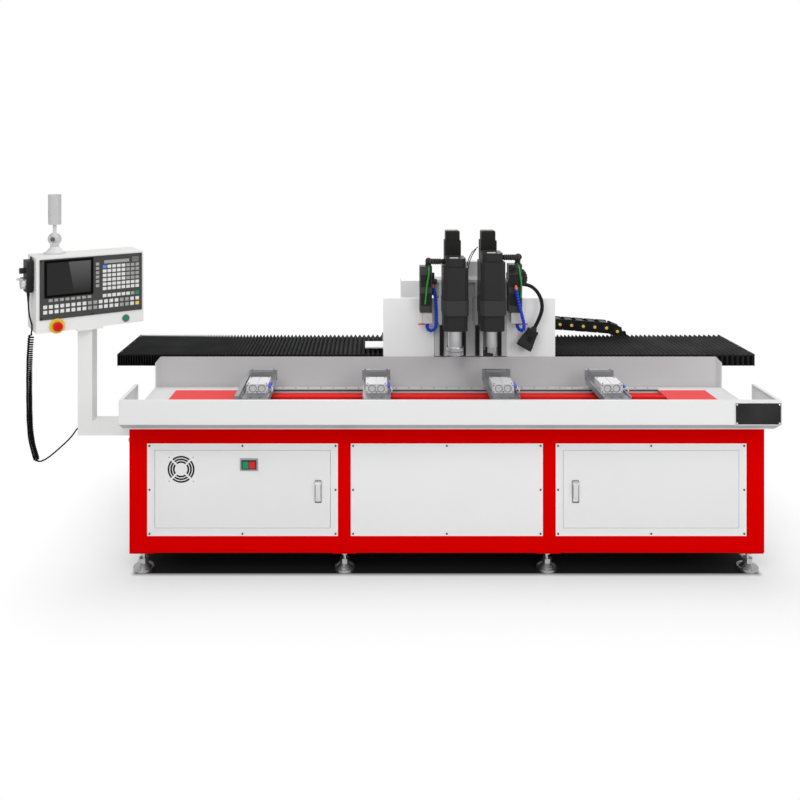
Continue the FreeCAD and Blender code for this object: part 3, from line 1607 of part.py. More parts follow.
def make_lamp_head():
    head = rod(lamp_head_r, lamp_head_top_z - lamp_head_z, lamp_u, lamp_v, lamp_head_z)
    slot_half = lamp_eye_w / 2 + run_gap
    slot = box(lamp_u - 2 * lamp_head_r, lamp_u + 2 * lamp_head_r, lamp_v - slot_half, lamp_v + slot_half,
               lamp_head_z - overrun, lamp_head_z + lamp_slot_h)
    glass_seat = rod(lamp_glass_r, lamp_glass_d, lamp_u, lamp_v, lamp_head_top_z - lamp_glass_d)
    pin = rod(lamp_pin_r, 2 * slot_half + 2 * sheet, lamp_u, lamp_v - slot_half - sheet, lamp_pivot_z, Y_AXIS)
    return to_box(head.cut(slot).cut(glass_seat).fuse(pin))


def dial_v():
    return pendant_front_v + pendant_d / 2


def make_pendant_body():
    back_v = pendant_front_v + pendant_d
    right_u = pendant_u + pendant_t
    top = pendant_z + pendant_h
    v = dial_v()
    body = box(pendant_u, right_u, pendant_front_v, back_v, pendant_z, top)
    for z in (dial_z, knob_z):
        body = body.cut(rod(dial_shaft_r + pin_gap, dial_shaft_l + run_gap, pendant_u, v, z, X_AXIS))
    gland = rod(cord_gland_r, cord_gland_l, (pendant_u + right_u) / 2, v, pendant_z - cord_gland_l)
    plate = box(right_u, -box_w / 2, v - pendant_plate_w / 2, v + pendant_plate_w / 2,
                top - pendant_plate_h, top)
    hook = box(right_u - pendant_hook_t, right_u, v - pendant_hook_w / 2, v + pendant_hook_w / 2,
               top, top + pendant_hook_h)
    return to_box(group([body.fuse([gland, hook]), plate]))


def make_pendant_dial():
    v = dial_v()
    disc = rod(dial_r, dial_t, pendant_u - dial_t, v, dial_z, X_AXIS)
    shaft = rod(dial_shaft_r, dial_shaft_l, pendant_u, v, dial_z, X_AXIS)
    crank = rod(crank_r, crank_l, pendant_u - dial_t - crank_l, v, dial_z + crank_offset, X_AXIS)
    return to_box(disc.fuse([shaft, crank]))


def make_pendant_knob():
    v = dial_v()
    disc = rod(knob_r, knob_t, pendant_u - knob_t, v, knob_z, X_AXIS)
    shaft = rod(dial_shaft_r, dial_shaft_l, pendant_u, v, knob_z, X_AXIS)
    return to_box(disc.fuse(shaft))


def make_pendant_cord():
    """The coiled stretch as one round column, with its plain lead and tail."""
    lead = cord_tube("cord lead", cord_lead_route + curl_route[:1], cord_wire_r)
    coil = cord_tube("cord coil", curl_route, curl_outer_r)
    tail = cord_tube("cord tail", curl_route[-1:] + cord_tail_route, cord_wire_r)
    return group([lead, coil, tail])


# Write every sub-part
save("base_frame", make_base_frame())
save("levelling_feet", make_levelling_feet())
save("side_panels", make_side_panels())
save("panel_screws", make_panel_screws())
save("front_sheets", make_front_sheets())
save("trough", group([make_trough(), make_backsplash()]))
save("bed_plates", make_bed_plates())
save("linear_rails", make_linear_rails())
save("x_beam", make_x_beam())
save("arm_tube", make_arm_tube())
save("control_box", make_control_box())
save("control_panel", make_control_panel())
save("lamp_base", make_lamp_base())
save("lamp_elbow", make_lamp_elbow())
save("lamp_head", make_lamp_head())
save("pendant_body", make_pendant_body())
save("pendant_dial", make_pendant_dial())
save("pendant_knob", make_pendant_knob())
save("pendant_cord", make_pendant_cord())
save("estop_button", make_estop_button())
save("start_button", make_start_button())
save("fan_housing", make_fan_housing())
save("fan_rotor", make_fan_rotor())
save("switch_plate", make_switch_plate())
on_x, off_x = switch_button_places()
save("switch_button_on", make_switch_button(on_x))
save("switch_button_off", make_switch_button(off_x))
for side in sides:
    save("door_" + side, make_door(side))
    save("lock_lever_" + side, make_lock_lever(side))
    save("bellows_" + side, make_bellows(side))
    save("head_" + side, make_head(side))
    save("valve_lever_" + side, make_valve_lever(side))
save("chuck_left", make_left_chuck())
save("chuck_right", make_right_chuck())
save("x_nut", make_x_nut())
save("saddle_plate", make_saddle_plate())
save("saddle_covers", make_saddle_covers())
save("saddle_column", make_saddle_column())
save("z_rails", make_z_rails())
save("z_motors", make_z_motors())
save("coolant_valves", make_coolant_valves())
save("coolant_hoses", make_coolant_hoses())
save("conduits", make_conduits())
save("tool_cable", cord_tube("tool cable", tool_cable_route, tool_cable_r))
save("tool_plug", make_tool_plug())
save("cable_chain_upper", make_chain_upper())
save("cable_chain_lower", make_chain_lower())
save("cable_chain_bend", make_chain_bend())
for number, x in enumerate(clamp_x, start=1):
    save("clamp_base_" + str(number), make_clamp_base(x, number == 1))
    save("clamp_jaw_" + str(number), make_clamp_jaw(x))
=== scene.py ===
import math
import bpy
import numpy as np
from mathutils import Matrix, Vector


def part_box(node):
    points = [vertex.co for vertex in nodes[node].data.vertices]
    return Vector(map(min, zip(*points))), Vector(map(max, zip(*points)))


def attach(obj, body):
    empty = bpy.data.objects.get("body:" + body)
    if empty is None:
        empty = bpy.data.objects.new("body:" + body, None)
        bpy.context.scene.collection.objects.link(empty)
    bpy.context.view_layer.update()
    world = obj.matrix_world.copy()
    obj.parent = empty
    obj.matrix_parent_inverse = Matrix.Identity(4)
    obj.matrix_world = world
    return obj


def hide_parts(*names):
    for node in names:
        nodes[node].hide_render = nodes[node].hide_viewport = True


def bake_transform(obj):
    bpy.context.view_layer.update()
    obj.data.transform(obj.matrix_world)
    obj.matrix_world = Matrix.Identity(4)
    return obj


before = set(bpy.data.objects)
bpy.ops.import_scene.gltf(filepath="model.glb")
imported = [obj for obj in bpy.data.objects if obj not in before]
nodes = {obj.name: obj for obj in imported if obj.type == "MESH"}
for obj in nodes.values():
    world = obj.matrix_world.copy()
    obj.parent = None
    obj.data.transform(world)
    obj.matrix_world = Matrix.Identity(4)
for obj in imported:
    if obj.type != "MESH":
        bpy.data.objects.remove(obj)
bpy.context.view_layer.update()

# Metres, in the machine's own frame: X along it, Y to the back, Z up from the floor.
sides = ("left", "right")
sign = {"left": -1, "right": 1}
to_left, to_right, to_front = (-1, 0, 0), (1, 0, 0), (0, -1, 0)
upward, downward = (0, 0, 1), (0, 0, -1)
tau = 2 * math.pi
mm = 0.001


def put(name, data):
    """A new object in the scene that holds the data."""
    thing = bpy.data.objects.new(name, data)
    bpy.context.scene.collection.objects.link(thing)
    return thing


# The camera stands where the photographer stood, level
camera_place = (-0.3356, -3.945, 1.881)
camera_lens = 36
camera_sensor = 36
camera_shift = (0.0375, -0.319)
camera_reach = 60


def make_camera():
    camera = bpy.data.cameras.new("camera")
    camera.lens = camera_lens
    camera.sensor_width = camera_sensor
    camera.shift_x, camera.shift_y = camera_shift
    camera.clip_end = camera_reach
    holder = put("camera", camera)
    holder.location = camera_place
    holder.rotation_euler = (math.pi / 2, 0, 0)
    bpy.context.scene.camera = holder


# Shader nodes. A colour is red, green, blue and alpha.
def grey(value):
    return (value, value, value)


def opaque(colour):
    return (*colour, 1)


def set_inputs(tree, sockets, values):
    """Each named socket takes a value, or a link from another node's output."""
    for label, value in values.items():
        if isinstance(value, bpy.types.NodeSocket):
            tree.links.new(value, sockets[label])
        else:
            sockets[label].default_value = value


def add_node(tree, kind, values, **settings):
    """A new node with its settings, then the values or links of its inputs."""
    node = tree.nodes.new("ShaderNode" + kind)
    for key, value in settings.items():
        setattr(node, key, value)
    set_inputs(tree, node.inputs, values)
    return node


def worked(tree, operation, *terms):
    """What a math node makes of values or outputs."""
    return add_node(tree, "Math", dict(enumerate(terms)), operation=operation).outputs[0]


def worked_vector(tree, operation, *terms):
    """What a vector math node makes of them: a vector, then a value."""
    return add_node(tree, "VectorMath", dict(enumerate(terms)), operation=operation).outputs


def ranged(tree, value, span, low=0.0, high=1.0):
    """A value brought from a span to between low and high, clamped."""
    values = {"Value": value, "From Min": span[0], "From Max": span[1], "To Min": low, "To Max": high}
    return add_node(tree, "MapRange", values).outputs["Result"]


def mixed(tree, share, first, second):
    """Two colours mixed, the second by its share."""
    values = {"Factor": share, "A": first, "B": second}
    return add_node(tree, "Mix", values, data_type="RGBA").outputs["Result"]


def noise(tree, place, scale, detail):
    values = {"Vector": place, "Scale": scale, "Detail": detail}
    return add_node(tree, "TexNoise", values).outputs["Fac"]


def own_place(tree):
    return add_node(tree, "TexCoord", {}).outputs["Object"]


def own_axes(tree):
    return add_node(tree, "SeparateXYZ", {0: own_place(tree)}).outputs


# Node groups that several materials share
socket_kinds = {1: "NodeSocketFloat", 3: "NodeSocketVector", 4: "NodeSocketColor"}
noise_span = (0.3, 0.7)
edge_span = (0.54, 0.62)
dust_span = (0.45, 0.75)
dust_colour = (0.42, 0.41, 0.40, 1)


def new_group(name, inputs, outputs):
    """A group whose sockets are values, vectors or colours by the count of their numbers."""
    group = bpy.data.node_groups.new(name, "ShaderNodeTree")
    add_socket = group.interface.new_socket
    for label, value in inputs.items():
        kind = socket_kinds[np.size(value)]
        add_socket(label, in_out="INPUT", socket_type=kind).default_value = value
    for label, count in outputs.items():
        add_socket(label, in_out="OUTPUT", socket_type=socket_kinds[count])
    ins, outs = group.nodes.new("NodeGroupInput"), group.nodes.new("NodeGroupOutput")
    return group, ins.outputs, outs.inputs


def make_speckle_group():
    """Fine noise: a height for bump, and a roughness that wanders between two values."""
    group, ins, outs = new_group("speckle", {"Scale": 400.0, "Rough low": 0.35, "Rough high": 0.5},
                                 {"Height": 1, "Roughness": 1})
    broad = noise(group, own_place(group), scale=9, detail=4)
    set_inputs(group, outs, {
        "Height": noise(group, own_place(group), scale=ins["Scale"], detail=3),
        "Roughness": ranged(group, broad, noise_span, ins["Rough low"], ins["Rough high"])})
    return group


def make_brushed_group():
    """Noise drawn out along one axis, as height and as roughness, for brushed or ground metal."""
    group, ins, outs = new_group(
        "brushed", {"Stretch": (4.0, 400.0, 400.0), "Rough low": 0.22, "Rough high": 0.42},
        {"Height": 1, "Roughness": 1})
    drawn = worked_vector(group, "MULTIPLY", own_place(group), ins["Stretch"])[0]
    lines = noise(group, drawn, scale=1, detail=4)
    set_inputs(group, outs, {
        "Height": lines, "Roughness": ranged(group, lines, noise_span, ins["Rough low"], ins["Rough high"])})
    return group


def make_wear_and_edge_shade_group():
    """A colour with faint dust patches, and an edge colour laid over its convex edges: pale rubbed wear on most
    finishes, painted shade where it is darker, as on the lamp.
    """
    group, ins, outs = new_group(
        "wear_and_edge_shade", {"Colour": (0.5, 0.5, 0.5, 1), "Edge colour": (0.6, 0.6, 0.6, 1), "Edge": 0.4, "Dust": 0.05},
        {"Colour": 4})
    pointed = add_node(group, "NewGeometry", {}).outputs["Pointiness"]
    edge_share = worked(group, "MULTIPLY", ranged(group, pointed, edge_span), ins["Edge"])
    patches = noise(group, own_place(group), scale=5, detail=6)
    dusty = worked(group, "MULTIPLY", ranged(group, patches, dust_span), ins["Dust"])
    edged = mixed(group, edge_share, ins["Colour"], ins["Edge colour"])
    set_inputs(group, outs, {"Colour": mixed(group, dusty, edged, dust_colour)})
    return group


def make_band_group():
    """A mask that is one between two heights of the object's own Z and behind one depth of its own Y."""
    group, ins, outs = new_group("height band", {"Low": 0.0, "High": 1.0, "Depth": -10.0}, {"Mask": 1})
    axes = own_axes(group)
    mask = worked(group, "GREATER_THAN", axes["Z"], ins["Low"])
    for operation, axis, limit in (("LESS_THAN", "Z", "High"), ("GREATER_THAN", "Y", "Depth")):
        mask = worked(group, "MULTIPLY", mask, worked(group, operation, axes[axis], ins[limit]))
    set_inputs(group, outs, {"Mask": mask})
    return group


speckle_group = make_speckle_group()
brushed_group = make_brushed_group()
wear_and_edge_shade_group = make_wear_and_edge_shade_group()
band_group = make_band_group()


# Materials
coat_roughness = 0.1
grain_depth = {"paint": 0.0004, "metal": 0.0003}
metal_edge = grey(0.8)
band_edge = grey(0.3)
calm_red = (0.26, 0.22, 0.22)
# How sharply the painted highlight gathers on the ridges of pleats and ribs
fold_shading_contrast = 2.2


def place_group(tree, group, **values):
    """A group in a material, named after it, with its own values."""
    labels = {key.replace("_", " "): value for key, value in values.items()}
    return add_node(tree, "Group", labels, node_tree=group, name=group.name)


def new_material(name, specular=0.5, metallic=0.0, coat=0.0):
    material = bpy.data.materials.new(name)
    material.use_nodes = True
    tree = material.node_tree
    shader = tree.nodes["Principled BSDF"].inputs
    set_inputs(tree, shader, {"Specular IOR Level": specular, "Metallic": metallic, "Coat Weight": coat,
                              "Coat Roughness": coat_roughness})
    return material, tree, shader


def finish(tree, shader, wear_and_edge_shade, grain, bump, depth):
    """The colour with its edges and dust laid over, the grain's roughness, and its height as bump."""
    values = {"Strength": bump, "Distance": depth, "Height": grain.outputs["Height"]}
    normal = add_node(tree, "Bump", values).outputs["Normal"]
    set_inputs(tree, shader, {"Base Color": wear_and_edge_shade.outputs["Colour"], "Roughness": grain.outputs["Roughness"],
                              "Normal": normal})


def coated(name, colour, edge_colour, rough=(0.35, 0.5), edge=0.25, dust=0.04, grain=420, bump=0.12,
           coat=0.0, specular=0.5):
    """Paint, powder coat, plastic or rubber: one colour with rubbed edges, dust and a fine grain. A darker edge
    colour is painted shade along the edges, as on the lamp.
    """
    material, tree, shader = new_material(name, specular=specular, coat=coat)
    wear_and_edge_shade = place_group(tree, wear_and_edge_shade_group, Colour=opaque(colour), Edge_colour=opaque(edge_colour), Edge=edge,
                       Dust=dust)
    speckle = place_group(tree, speckle_group, Scale=grain, Rough_low=rough[0], Rough_high=rough[1])
    finish(tree, shader, wear_and_edge_shade, speckle, bump, grain_depth["paint"])
    return material


def quiet(material):
    """Diffuse and glossy rays meet a calmer colour, so that a red paint doesn't tint what stands near it."""
    tree = material.node_tree
    colour = tree.nodes["Principled BSDF"].inputs["Base Color"]
    rays = add_node(tree, "LightPath", {}).outputs
    bounced = worked(tree, "MAXIMUM", rays["Is Diffuse Ray"], rays["Is Glossy Ray"])
    tree.links.new(mixed(tree, bounced, colour.links[0].from_socket, opaque(calm_red)), colour)
    return material


def metal(name, colour, rough=(0.2, 0.4), stretch=(300.0, 300.0, 4.0)):
    """Machined or brushed metal whose fine lines run along the axis that is stretched least."""
    material, tree, shader = new_material(name, metallic=1.0)
    wear_and_edge_shade = place_group(tree, wear_and_edge_shade_group, Colour=opaque(colour), Edge_colour=opaque(metal_edge), Edge=0.3,
                       Dust=0.05)
    lines = place_group(tree, brushed_group, Stretch=stretch, Rough_low=rough[0], Rough_high=rough[1])
    finish(tree, shader, wear_and_edge_shade, lines, 0.08, grain_depth["metal"])
    return material


def banded(name, colour, bands, rough=(0.35, 0.5), specular=0.15, shine=None):
    """One finish over the whole piece and others in bands of (colour, low, high, depth), one maybe metal."""
    material, tree, shader = new_material(name, specular=specular)
    source = opaque(colour)
    for k, (tint, low, high, depth) in enumerate(bands):
        mask = place_group(tree, band_group, Low=low, High=high, Depth=depth).outputs["Mask"]
        source = mixed(tree, mask, source, opaque(tint))
        if k == shine:
            set_inputs(tree, shader, {"Metallic": mask})
    wear_and_edge_shade = place_group(tree, wear_and_edge_shade_group, Colour=source, Edge_colour=opaque(band_edge), Edge=0.08, Dust=0.0)
    speckle = place_group(tree, speckle_group, Scale=500.0, Rough_low=rough[0], Rough_high=rough[1])
    finish(tree, shader, wear_and_edge_shade, speckle, 0.1, grain_depth["metal"])
    return material


def recolour(material, source):
    """The material's wear takes its colour from another output of its own tree."""
    tree = material.node_tree
    tree.links.new(source, tree.nodes[wear_and_edge_shade_group.name].inputs["Colour"])
    return material


def pleat_shaded(name, groove, ridge):
    """Cloth or ribbed tube, with painted highlight on its ridges and painted shade in its grooves, by the fold
    attribute that its points hold.
    """
    material = coated(name, groove, ridge, rough=(0.5, 0.65), edge=0.0, dust=0.01, grain=1500, bump=0.3,
                      specular=0.12)
    tree = material.node_tree
    fold = add_node(tree, "Attribute", {}, attribute_name="fold").outputs["Fac"]
    ridge_highlight_share = worked(tree, "POWER", fold, fold_shading_contrast)
    return recolour(material, mixed(tree, ridge_highlight_share, opaque(groove), opaque(ridge)))


# The control box stands turned about its own upright line. U runs along its face, from that line.
box_centre = (-1.616, -0.3309)
box_turn = math.radians(33.4)
box_out = (math.sin(box_turn), -math.cos(box_turn), 0)
# Where the painted reflection of a window on the screen glass begins, and how it rises
glare_u = -0.088
glare_height = 1.30
glare_slope = 0.17
glare_edge = 0.003
glare_rise = (1.235, 1.375)
glass_dark = grey(0.022)
glass_painted_reflection = (0.105, 0.105, 0.106)


def glossy_screen(name):
    """Dark glass with a painted reflection of a window: paler beyond a slanted line and towards its top."""
    material, tree, shader = new_material(name, specular=0.15)
    across = (math.cos(box_turn), math.sin(box_turn), glare_slope)
    line = glare_u + float(np.dot(across, (*box_centre, glare_height)))
    slant = worked_vector(tree, "DOT_PRODUCT", own_place(tree), across)["Value"]
    beyond = ranged(tree, slant, (line, line + glare_edge))
    rise = ranged(tree, own_axes(tree)["Z"], glare_rise)
    glare = worked(tree, "MULTIPLY", beyond, rise)
    speckle = place_group(tree, speckle_group, Scale=600.0, Rough_low=0.06, Rough_high=0.12)
    set_inputs(tree, shader, {"Base Color": mixed(tree, glare, opaque(glass_dark), opaque(glass_painted_reflection)),
                              "Roughness": speckle.outputs["Roughness"]})
    return material


# The bed's middle plate, by its middle and half length
middle_plate = (0.0685, 0.9683)
# The bed's reds are painted light: the frame's red made brighter where the top is lit, paler still on the end
# plates.
lit_bed_colour = {"middle": (0.78, 0.002, 0.002), "ends": (0.86, 0.075, 0.08)}


def lit_bed_paint():
    """Vivid red on the low middle plate and a paler, brighter red on the two end plates, both painted light:
    brighter than the frame's red where the bed's top is lit from above.
    """
    material = quiet(coated("lit bed red", lit_bed_colour["middle"], (0.8, 0.1, 0.1), rough=(0.28, 0.4), edge=0.2,
                            dust=0.0, specular=0.03))
    tree = material.node_tree
    from_middle = worked(tree, "ADD", own_axes(tree)["X"], -middle_plate[0])
    ends = worked(tree, "GREATER_THAN", worked(tree, "ABSOLUTE", from_middle), middle_plate[1])
    return recolour(material, mixed(tree, ends, opaque(lit_bed_colour["middle"]), opaque(lit_bed_colour["ends"])))


# Each finish: name, colour, colour of rubbed edges, which on the lamp is a darker grey of painted shade
paint = {
    "red": quiet(coated("red paint", (0.66, 0.0, 0.0), (0.70, 0.0, 0.0), rough=(0.4, 0.5), edge=0.2,
                        dust=0.0, specular=0.0)),
    "lit bed red": lit_bed_paint(),
    "white": coated("white powder coat", (0.77, 0.77, 0.775), grey(0.86), rough=(0.38, 0.5), edge=0.3),
    "cover white": coated("cover sheet", grey(0.90), grey(0.95), rough=(0.38, 0.5)),
    "column grey": coated("column grey", grey(0.58), grey(0.75), rough=(0.35, 0.45)),
    "box grey": coated("box grey", (0.78, 0.78, 0.77), grey(0.85), rough=(0.3, 0.42)),
    "dark": coated("dark casting", (0.022, 0.022, 0.024), grey(0.2), rough=(0.4, 0.55), dust=0.02,
                   grain=220, bump=0.25, specular=0.25),
    "black": coated("black anodised", (0.006, 0.006, 0.007), grey(0.10), rough=(0.3, 0.45), edge=0.3,
                    dust=0.005, specular=0.18),
    "band": coated("charcoal band", (0.022, 0.022, 0.023), grey(0.12), rough=(0.4, 0.55), dust=0.01,
                   specular=0.2),
    "plastic": coated("black plastic", (0.008, 0.008, 0.009), grey(0.08), dust=0.01, grain=700,
                      specular=0.2),
    "rubber": coated("cable rubber", (0.007, 0.007, 0.008), grey(0.05), rough=(0.5, 0.65), dust=0.01,
                     grain=900, specular=0.2),
    "cord": coated("curly cord", grey(0.003), grey(0.02), rough=(0.4, 0.55), dust=0.0, grain=900,
                   specular=0.06),
    # Pleated finishes: a groove colour of painted shade, then a ridge colour of painted highlight
    "bellows": pleat_shaded("bellows cloth", (0.0012, 0.0012, 0.0014), (0.028, 0.028, 0.030)),
    "hose": pleat_shaded("segmented hose", (0.003, 0.008, 0.16), (0.03, 0.10, 0.88)),
    "conduit": pleat_shaded("ribbed conduit", grey(0.003), (0.060, 0.050, 0.049)),
    "valve": coated("valve box", (0.020, 0.021, 0.019), grey(0.12), dust=0.02, specular=0.3),
    # The lamp's edge grey is darker than its body: painted shade along its edges, not wear.
    "lamp": coated("lamp grey", grey(0.64), grey(0.38), rough=(0.22, 0.35), edge=0.5, specular=0.6),
    "plate face": coated("plate face", grey(0.007), grey(0.1), rough=(0.35, 0.45), specular=0.15),
    "panel": coated("panel film", (0.040, 0.040, 0.042), grey(0.10), rough=(0.45, 0.55), dust=0.01,
                    grain=1200, specular=0.25),
    "screen": glossy_screen("screen glass"),
    "rim": coated("screen rim", grey(0.0015), grey(0.01), rough=(0.4, 0.5), edge=0.1, dust=0.0,
                  specular=0.04),
    "key": coated("key cap", (0.70, 0.70, 0.69), grey(0.80), rough=(0.4, 0.5), grain=900),
    "key grey": coated("grey key cap", (0.30, 0.30, 0.29), grey(0.45), rough=(0.4, 0.5), grain=900),
    "key soft": coated("dark key cap", grey(0.13), grey(0.25), rough=(0.4, 0.5), grain=900),
    "blue": coated("blue plastic", (0.012, 0.05, 0.68), (0.1, 0.2, 0.8), rough=(0.25, 0.35), edge=0.3,
                   coat=0.3),
    "sky": coated("sky blue key", (0.02, 0.22, 0.66), (0.2, 0.4, 0.8), rough=(0.35, 0.45)),
    "orange": coated("orange nozzle", (0.83, 0.20, 0.06), (0.9, 0.4, 0.2), rough=(0.3, 0.4), coat=0.2),
    "yellow": coated("yellow plastic", (0.78, 0.55, 0.02), (0.85, 0.7, 0.2), rough=(0.3, 0.4), coat=0.2),
    "lime": coated("yellow pivot", (0.96, 0.62, 0.10), (0.95, 0.8, 0.4), rough=(0.35, 0.45), dust=0.0,
                   coat=0.1),
    "green": coated("green plastic", (0.005, 0.22, 0.10), (0.05, 0.35, 0.2), rough=(0.25, 0.35),
                    dust=0.0, specular=0.2),
    "green wire": coated("green wire", (0.02, 0.30, 0.03), (0.1, 0.5, 0.1), rough=(0.35, 0.45), grain=900),
    "signal red": coated("signal red", (0.60, 0.004, 0.003), (0.75, 0.08, 0.06), rough=(0.25, 0.35),
                         dust=0.0, specular=0.15),
    "tube": coated("pneumatic tube", (0.62, 0.64, 0.66), grey(0.7), rough=(0.15, 0.25), coat=0.5),
    "brass": metal("brass", (0.72, 0.50, 0.20), rough=(0.2, 0.35)),
    "steel": metal("ground steel", (0.62, 0.62, 0.63)),
    "bright": metal("bright steel", (0.78, 0.78, 0.79), rough=(0.12, 0.25), stretch=(500.0, 500.0, 30.0)),
    "rail": coated("rail steel", (0.55, 0.53, 0.54), grey(0.7), rough=(0.25, 0.35), specular=0.6),
    "plate": metal("machined plate", (0.33, 0.33, 0.35), rough=(0.35, 0.5), stretch=(200.0, 6.0, 200.0)),
    "mid grey": coated("mid grey plate", (0.30, 0.30, 0.31), grey(0.5), rough=(0.35, 0.45)),
    "jaw": coated("milled jaw", (0.66, 0.65, 0.66), grey(0.8), rough=(0.3, 0.42), grain=300,
                  specular=0.55),
    "silver": metal("silver knob", (0.70, 0.70, 0.71), rough=(0.2, 0.3)),
}


# Mesh makers. Each gives points and faces, and pieces are several of them joined.
sharp_angle = math.radians(35)
bevel_segments = 2


def grid_faces(rows, columns, closed=True):
    """Quads between neighbouring points of a grid, whose columns close into rings or stay open."""
    i, j = np.meshgrid(np.arange(rows - 1), np.arange(columns if closed else columns - 1), indexing="ij")
    here, below = (i * columns).ravel(), ((i + 1) * columns).ravel()
    j = j.ravel()
    across = (j + 1) % columns
    return np.stack([here + j, below + j, below + across, here + across], axis=1).tolist()


def tube_faces(rows, steps):
    """The wall and the two ends of a stack of rings, turned outwards."""
    wall = [face[::-1] for face in grid_faces(rows, steps)]
    return wall + [list(range(steps))[::-1], [(rows - 1) * steps + k for k in range(steps)]]


def block(x0, x1, y0, y1, z0, z1):
    """A box: the eight corners low-high along each axis, six faces turned outwards."""
    x, y, z = np.meshgrid([x0, x1], [y0, y1], [z0, z1], indexing="ij")
    points = np.stack([x.ravel(), y.ravel(), z.ravel()], axis=1)
    return points, [[0, 1, 3, 2], [4, 6, 7, 5], [0, 4, 5, 1], [2, 3, 7, 6], [0, 2, 6, 4], [1, 5, 7, 3]]


def edge_bars(x0, x1, y0, y1, z0, z1, rim):
    """A frame of four bars inside a box, of the given rim in the plane of X and Z."""
    return [block(x0, x1, y0, y1, z1 - rim, z1), block(x0, x1, y0, y1, z0, z0 + rim),
            block(x0, x0 + rim, y0, y1, z0 + rim, z1 - rim), block(x1 - rim, x1, y0, y1, z0 + rim, z1 - rim)]


def basis(axis):
    """Two directions square to an axis, and the axis itself, of unit length."""
    forward = np.array(axis, float)
    forward /= np.linalg.norm(forward)
    helper = upward if abs(forward[2]) < 0.9 else to_right
    side = np.cross(helper, forward)
    side /= np.linalg.norm(side)
    return side, np.cross(forward, side), forward


def turned(profile, place, axis=upward, steps=32):
    """A profile of (radius, height) round an axis: point = place + r(cos a, sin a) + h axis, ends closed."""
    side, up, forward = basis(axis)
    profile = np.array(profile, float)
    angle = np.arange(steps) * tau / steps
    ring = np.cos(angle)[:, None] * side + np.sin(angle)[:, None] * up
    points = np.array(place) + profile[:, None, :1] * ring[None] + profile[:, None, 1:] * forward
    return points.reshape(-1, 3), tube_faces(len(profile), steps)


# Turned fittings: steps round the axis, then (radius, height) in millimetres from the seat outwards
fittings = {
    "bellows rivet": (10, [(3, 0), (3.2, 0.6), (1.5, 1.3)]),
    "chain boss": (20, [(19, 0), (19, 1.2), (17, 2.2)]),
    "chain pin": (16, [(8.5, 1.8), (8.5, 3.2), (6, 4.4), (2, 4.6)]),
    "hood collar": (24, [(13, -12), (14.5, -10), (14.5, 0), (13.5, 2)]),
    "hood contact": (8, [(1.2, 0), (1.6, 0.4), (1.6, 11.6), (1.2, 12)]),
    "cord relief": (20, [(6.2, 0), (6.2, 6), (4.8, 10), (5.2, 14), (4.2, 20), (4.4, 24), (3.4, 34)]),
    "hose nozzle": (20, [(7.5, -2), (8.8, 3), (7.8, 8), (5, 15), (4.2, 19)]),
    "conduit gland": (6, [(13.5, 0), (15, 1), (15, 7), (13.5, 8), (13, 13)]),
    "conduit foot": (24, [(15, 0), (15, 4), (13, 6), (13, 10)]),
    "knuckle screw": (20, [(5.8, -3), (6, 1.2), (5, 2.2), (3, 2.2), (2.6, 0.4)]),
    "plate rivet": (14, [(4.2, 0), (4.2, 0.8), (2.6, 2), (0.8, 2.4)]),
    "valve knob": (28, [(15, 0), (17.2, 2), (17.2, 16), (16, 18), (6, 18), (5.2, 15)]),
    "solenoid nut": (6, [(9, 0), (10, 1), (10, 6), (9, 7)]),
    "solenoid coil": (24, [(12.5, 7), (13, 8), (13, 22), (11.5, 24)]),
    "rail screw": (10, [(4.4, 0), (4.4, 0.4), (3, 0.6)]),
    "cylinder cap": (32, [(15.8, 0), (15.8, 1.8), (15, 2.6), (1, 2.6)]),
    "push-in fitting": (16, [(4, 0), (4, 4), (6.2, 5), (6.2, 12), (5, 14)]),
    "cabinet gland": (6, [(13, 0), (13.8, 1), (13.8, 7), (12.5, 8)]),
    "gland dome": (28, [(11.5, 7), (11.8, 11), (10, 16), (6, 17.5), (5.5, 10)]),
    "blanking plug": (28, [(12, 0), (12.2, 2), (10, 4), (3, 4.5)]),
}


def fitting(name, place, axis=upward):
    steps, outline = fittings[name]
    return turned(np.array(outline) * mm, place, axis, steps)


def flat_ring(outer_r, inner_r, front, back, place, axis, steps=40):
    """A washer turned from its section: out at the back, over the face, in at the bore, edges rounded."""
    edge = min((front - back) * 0.35, 0.0012)
    return turned([(inner_r, back), (outer_r, back), (outer_r, front - edge), (outer_r - edge, front),
                   (inner_r + edge, front), (inner_r, front - edge), (inner_r, back)], place, axis, steps)


def socket_screw(place, axis, r, h):
    """A cap screw: a turned head with a sunk socket, by shares of its radius and height."""
    shares = [(0.9, 0), (1, 0.15), (1, 0.85), (0.9, 1), (0.5, 1), (0.45, 0.5)]
    return turned(np.array(shares) * (r, h), place, axis, steps=12)


def run_of(line):
    """How far each point of a line lies along it."""
    return np.concatenate([[0], np.cumsum(np.linalg.norm(np.diff(line, axis=0), axis=1))])


def points_at(line, distances):
    run = run_of(line)
    return np.stack([np.interp(distances, run, line[:, k]) for k in range(3)], axis=1)


def smooth_route(points, count):
    """A quadratic B-spline through a route's control points, sampled evenly in its own parameter."""
    control = np.array(points, float)
    padded = np.concatenate([control[:1], control, control[-1:]])
    spans = len(padded) - 2
    t = np.linspace(0, spans, count, endpoint=False)
    index = np.minimum(t.astype(int), spans - 1)
    u = (t - index)[:, None]
    a, b, c = padded[index], padded[index + 1], padded[index + 2]
    line = 0.5 * (1 - u) ** 2 * a + (0.5 + u * (1 - u)) * b + 0.5 * u ** 2 * c
    return np.concatenate([line, control[-1:]])


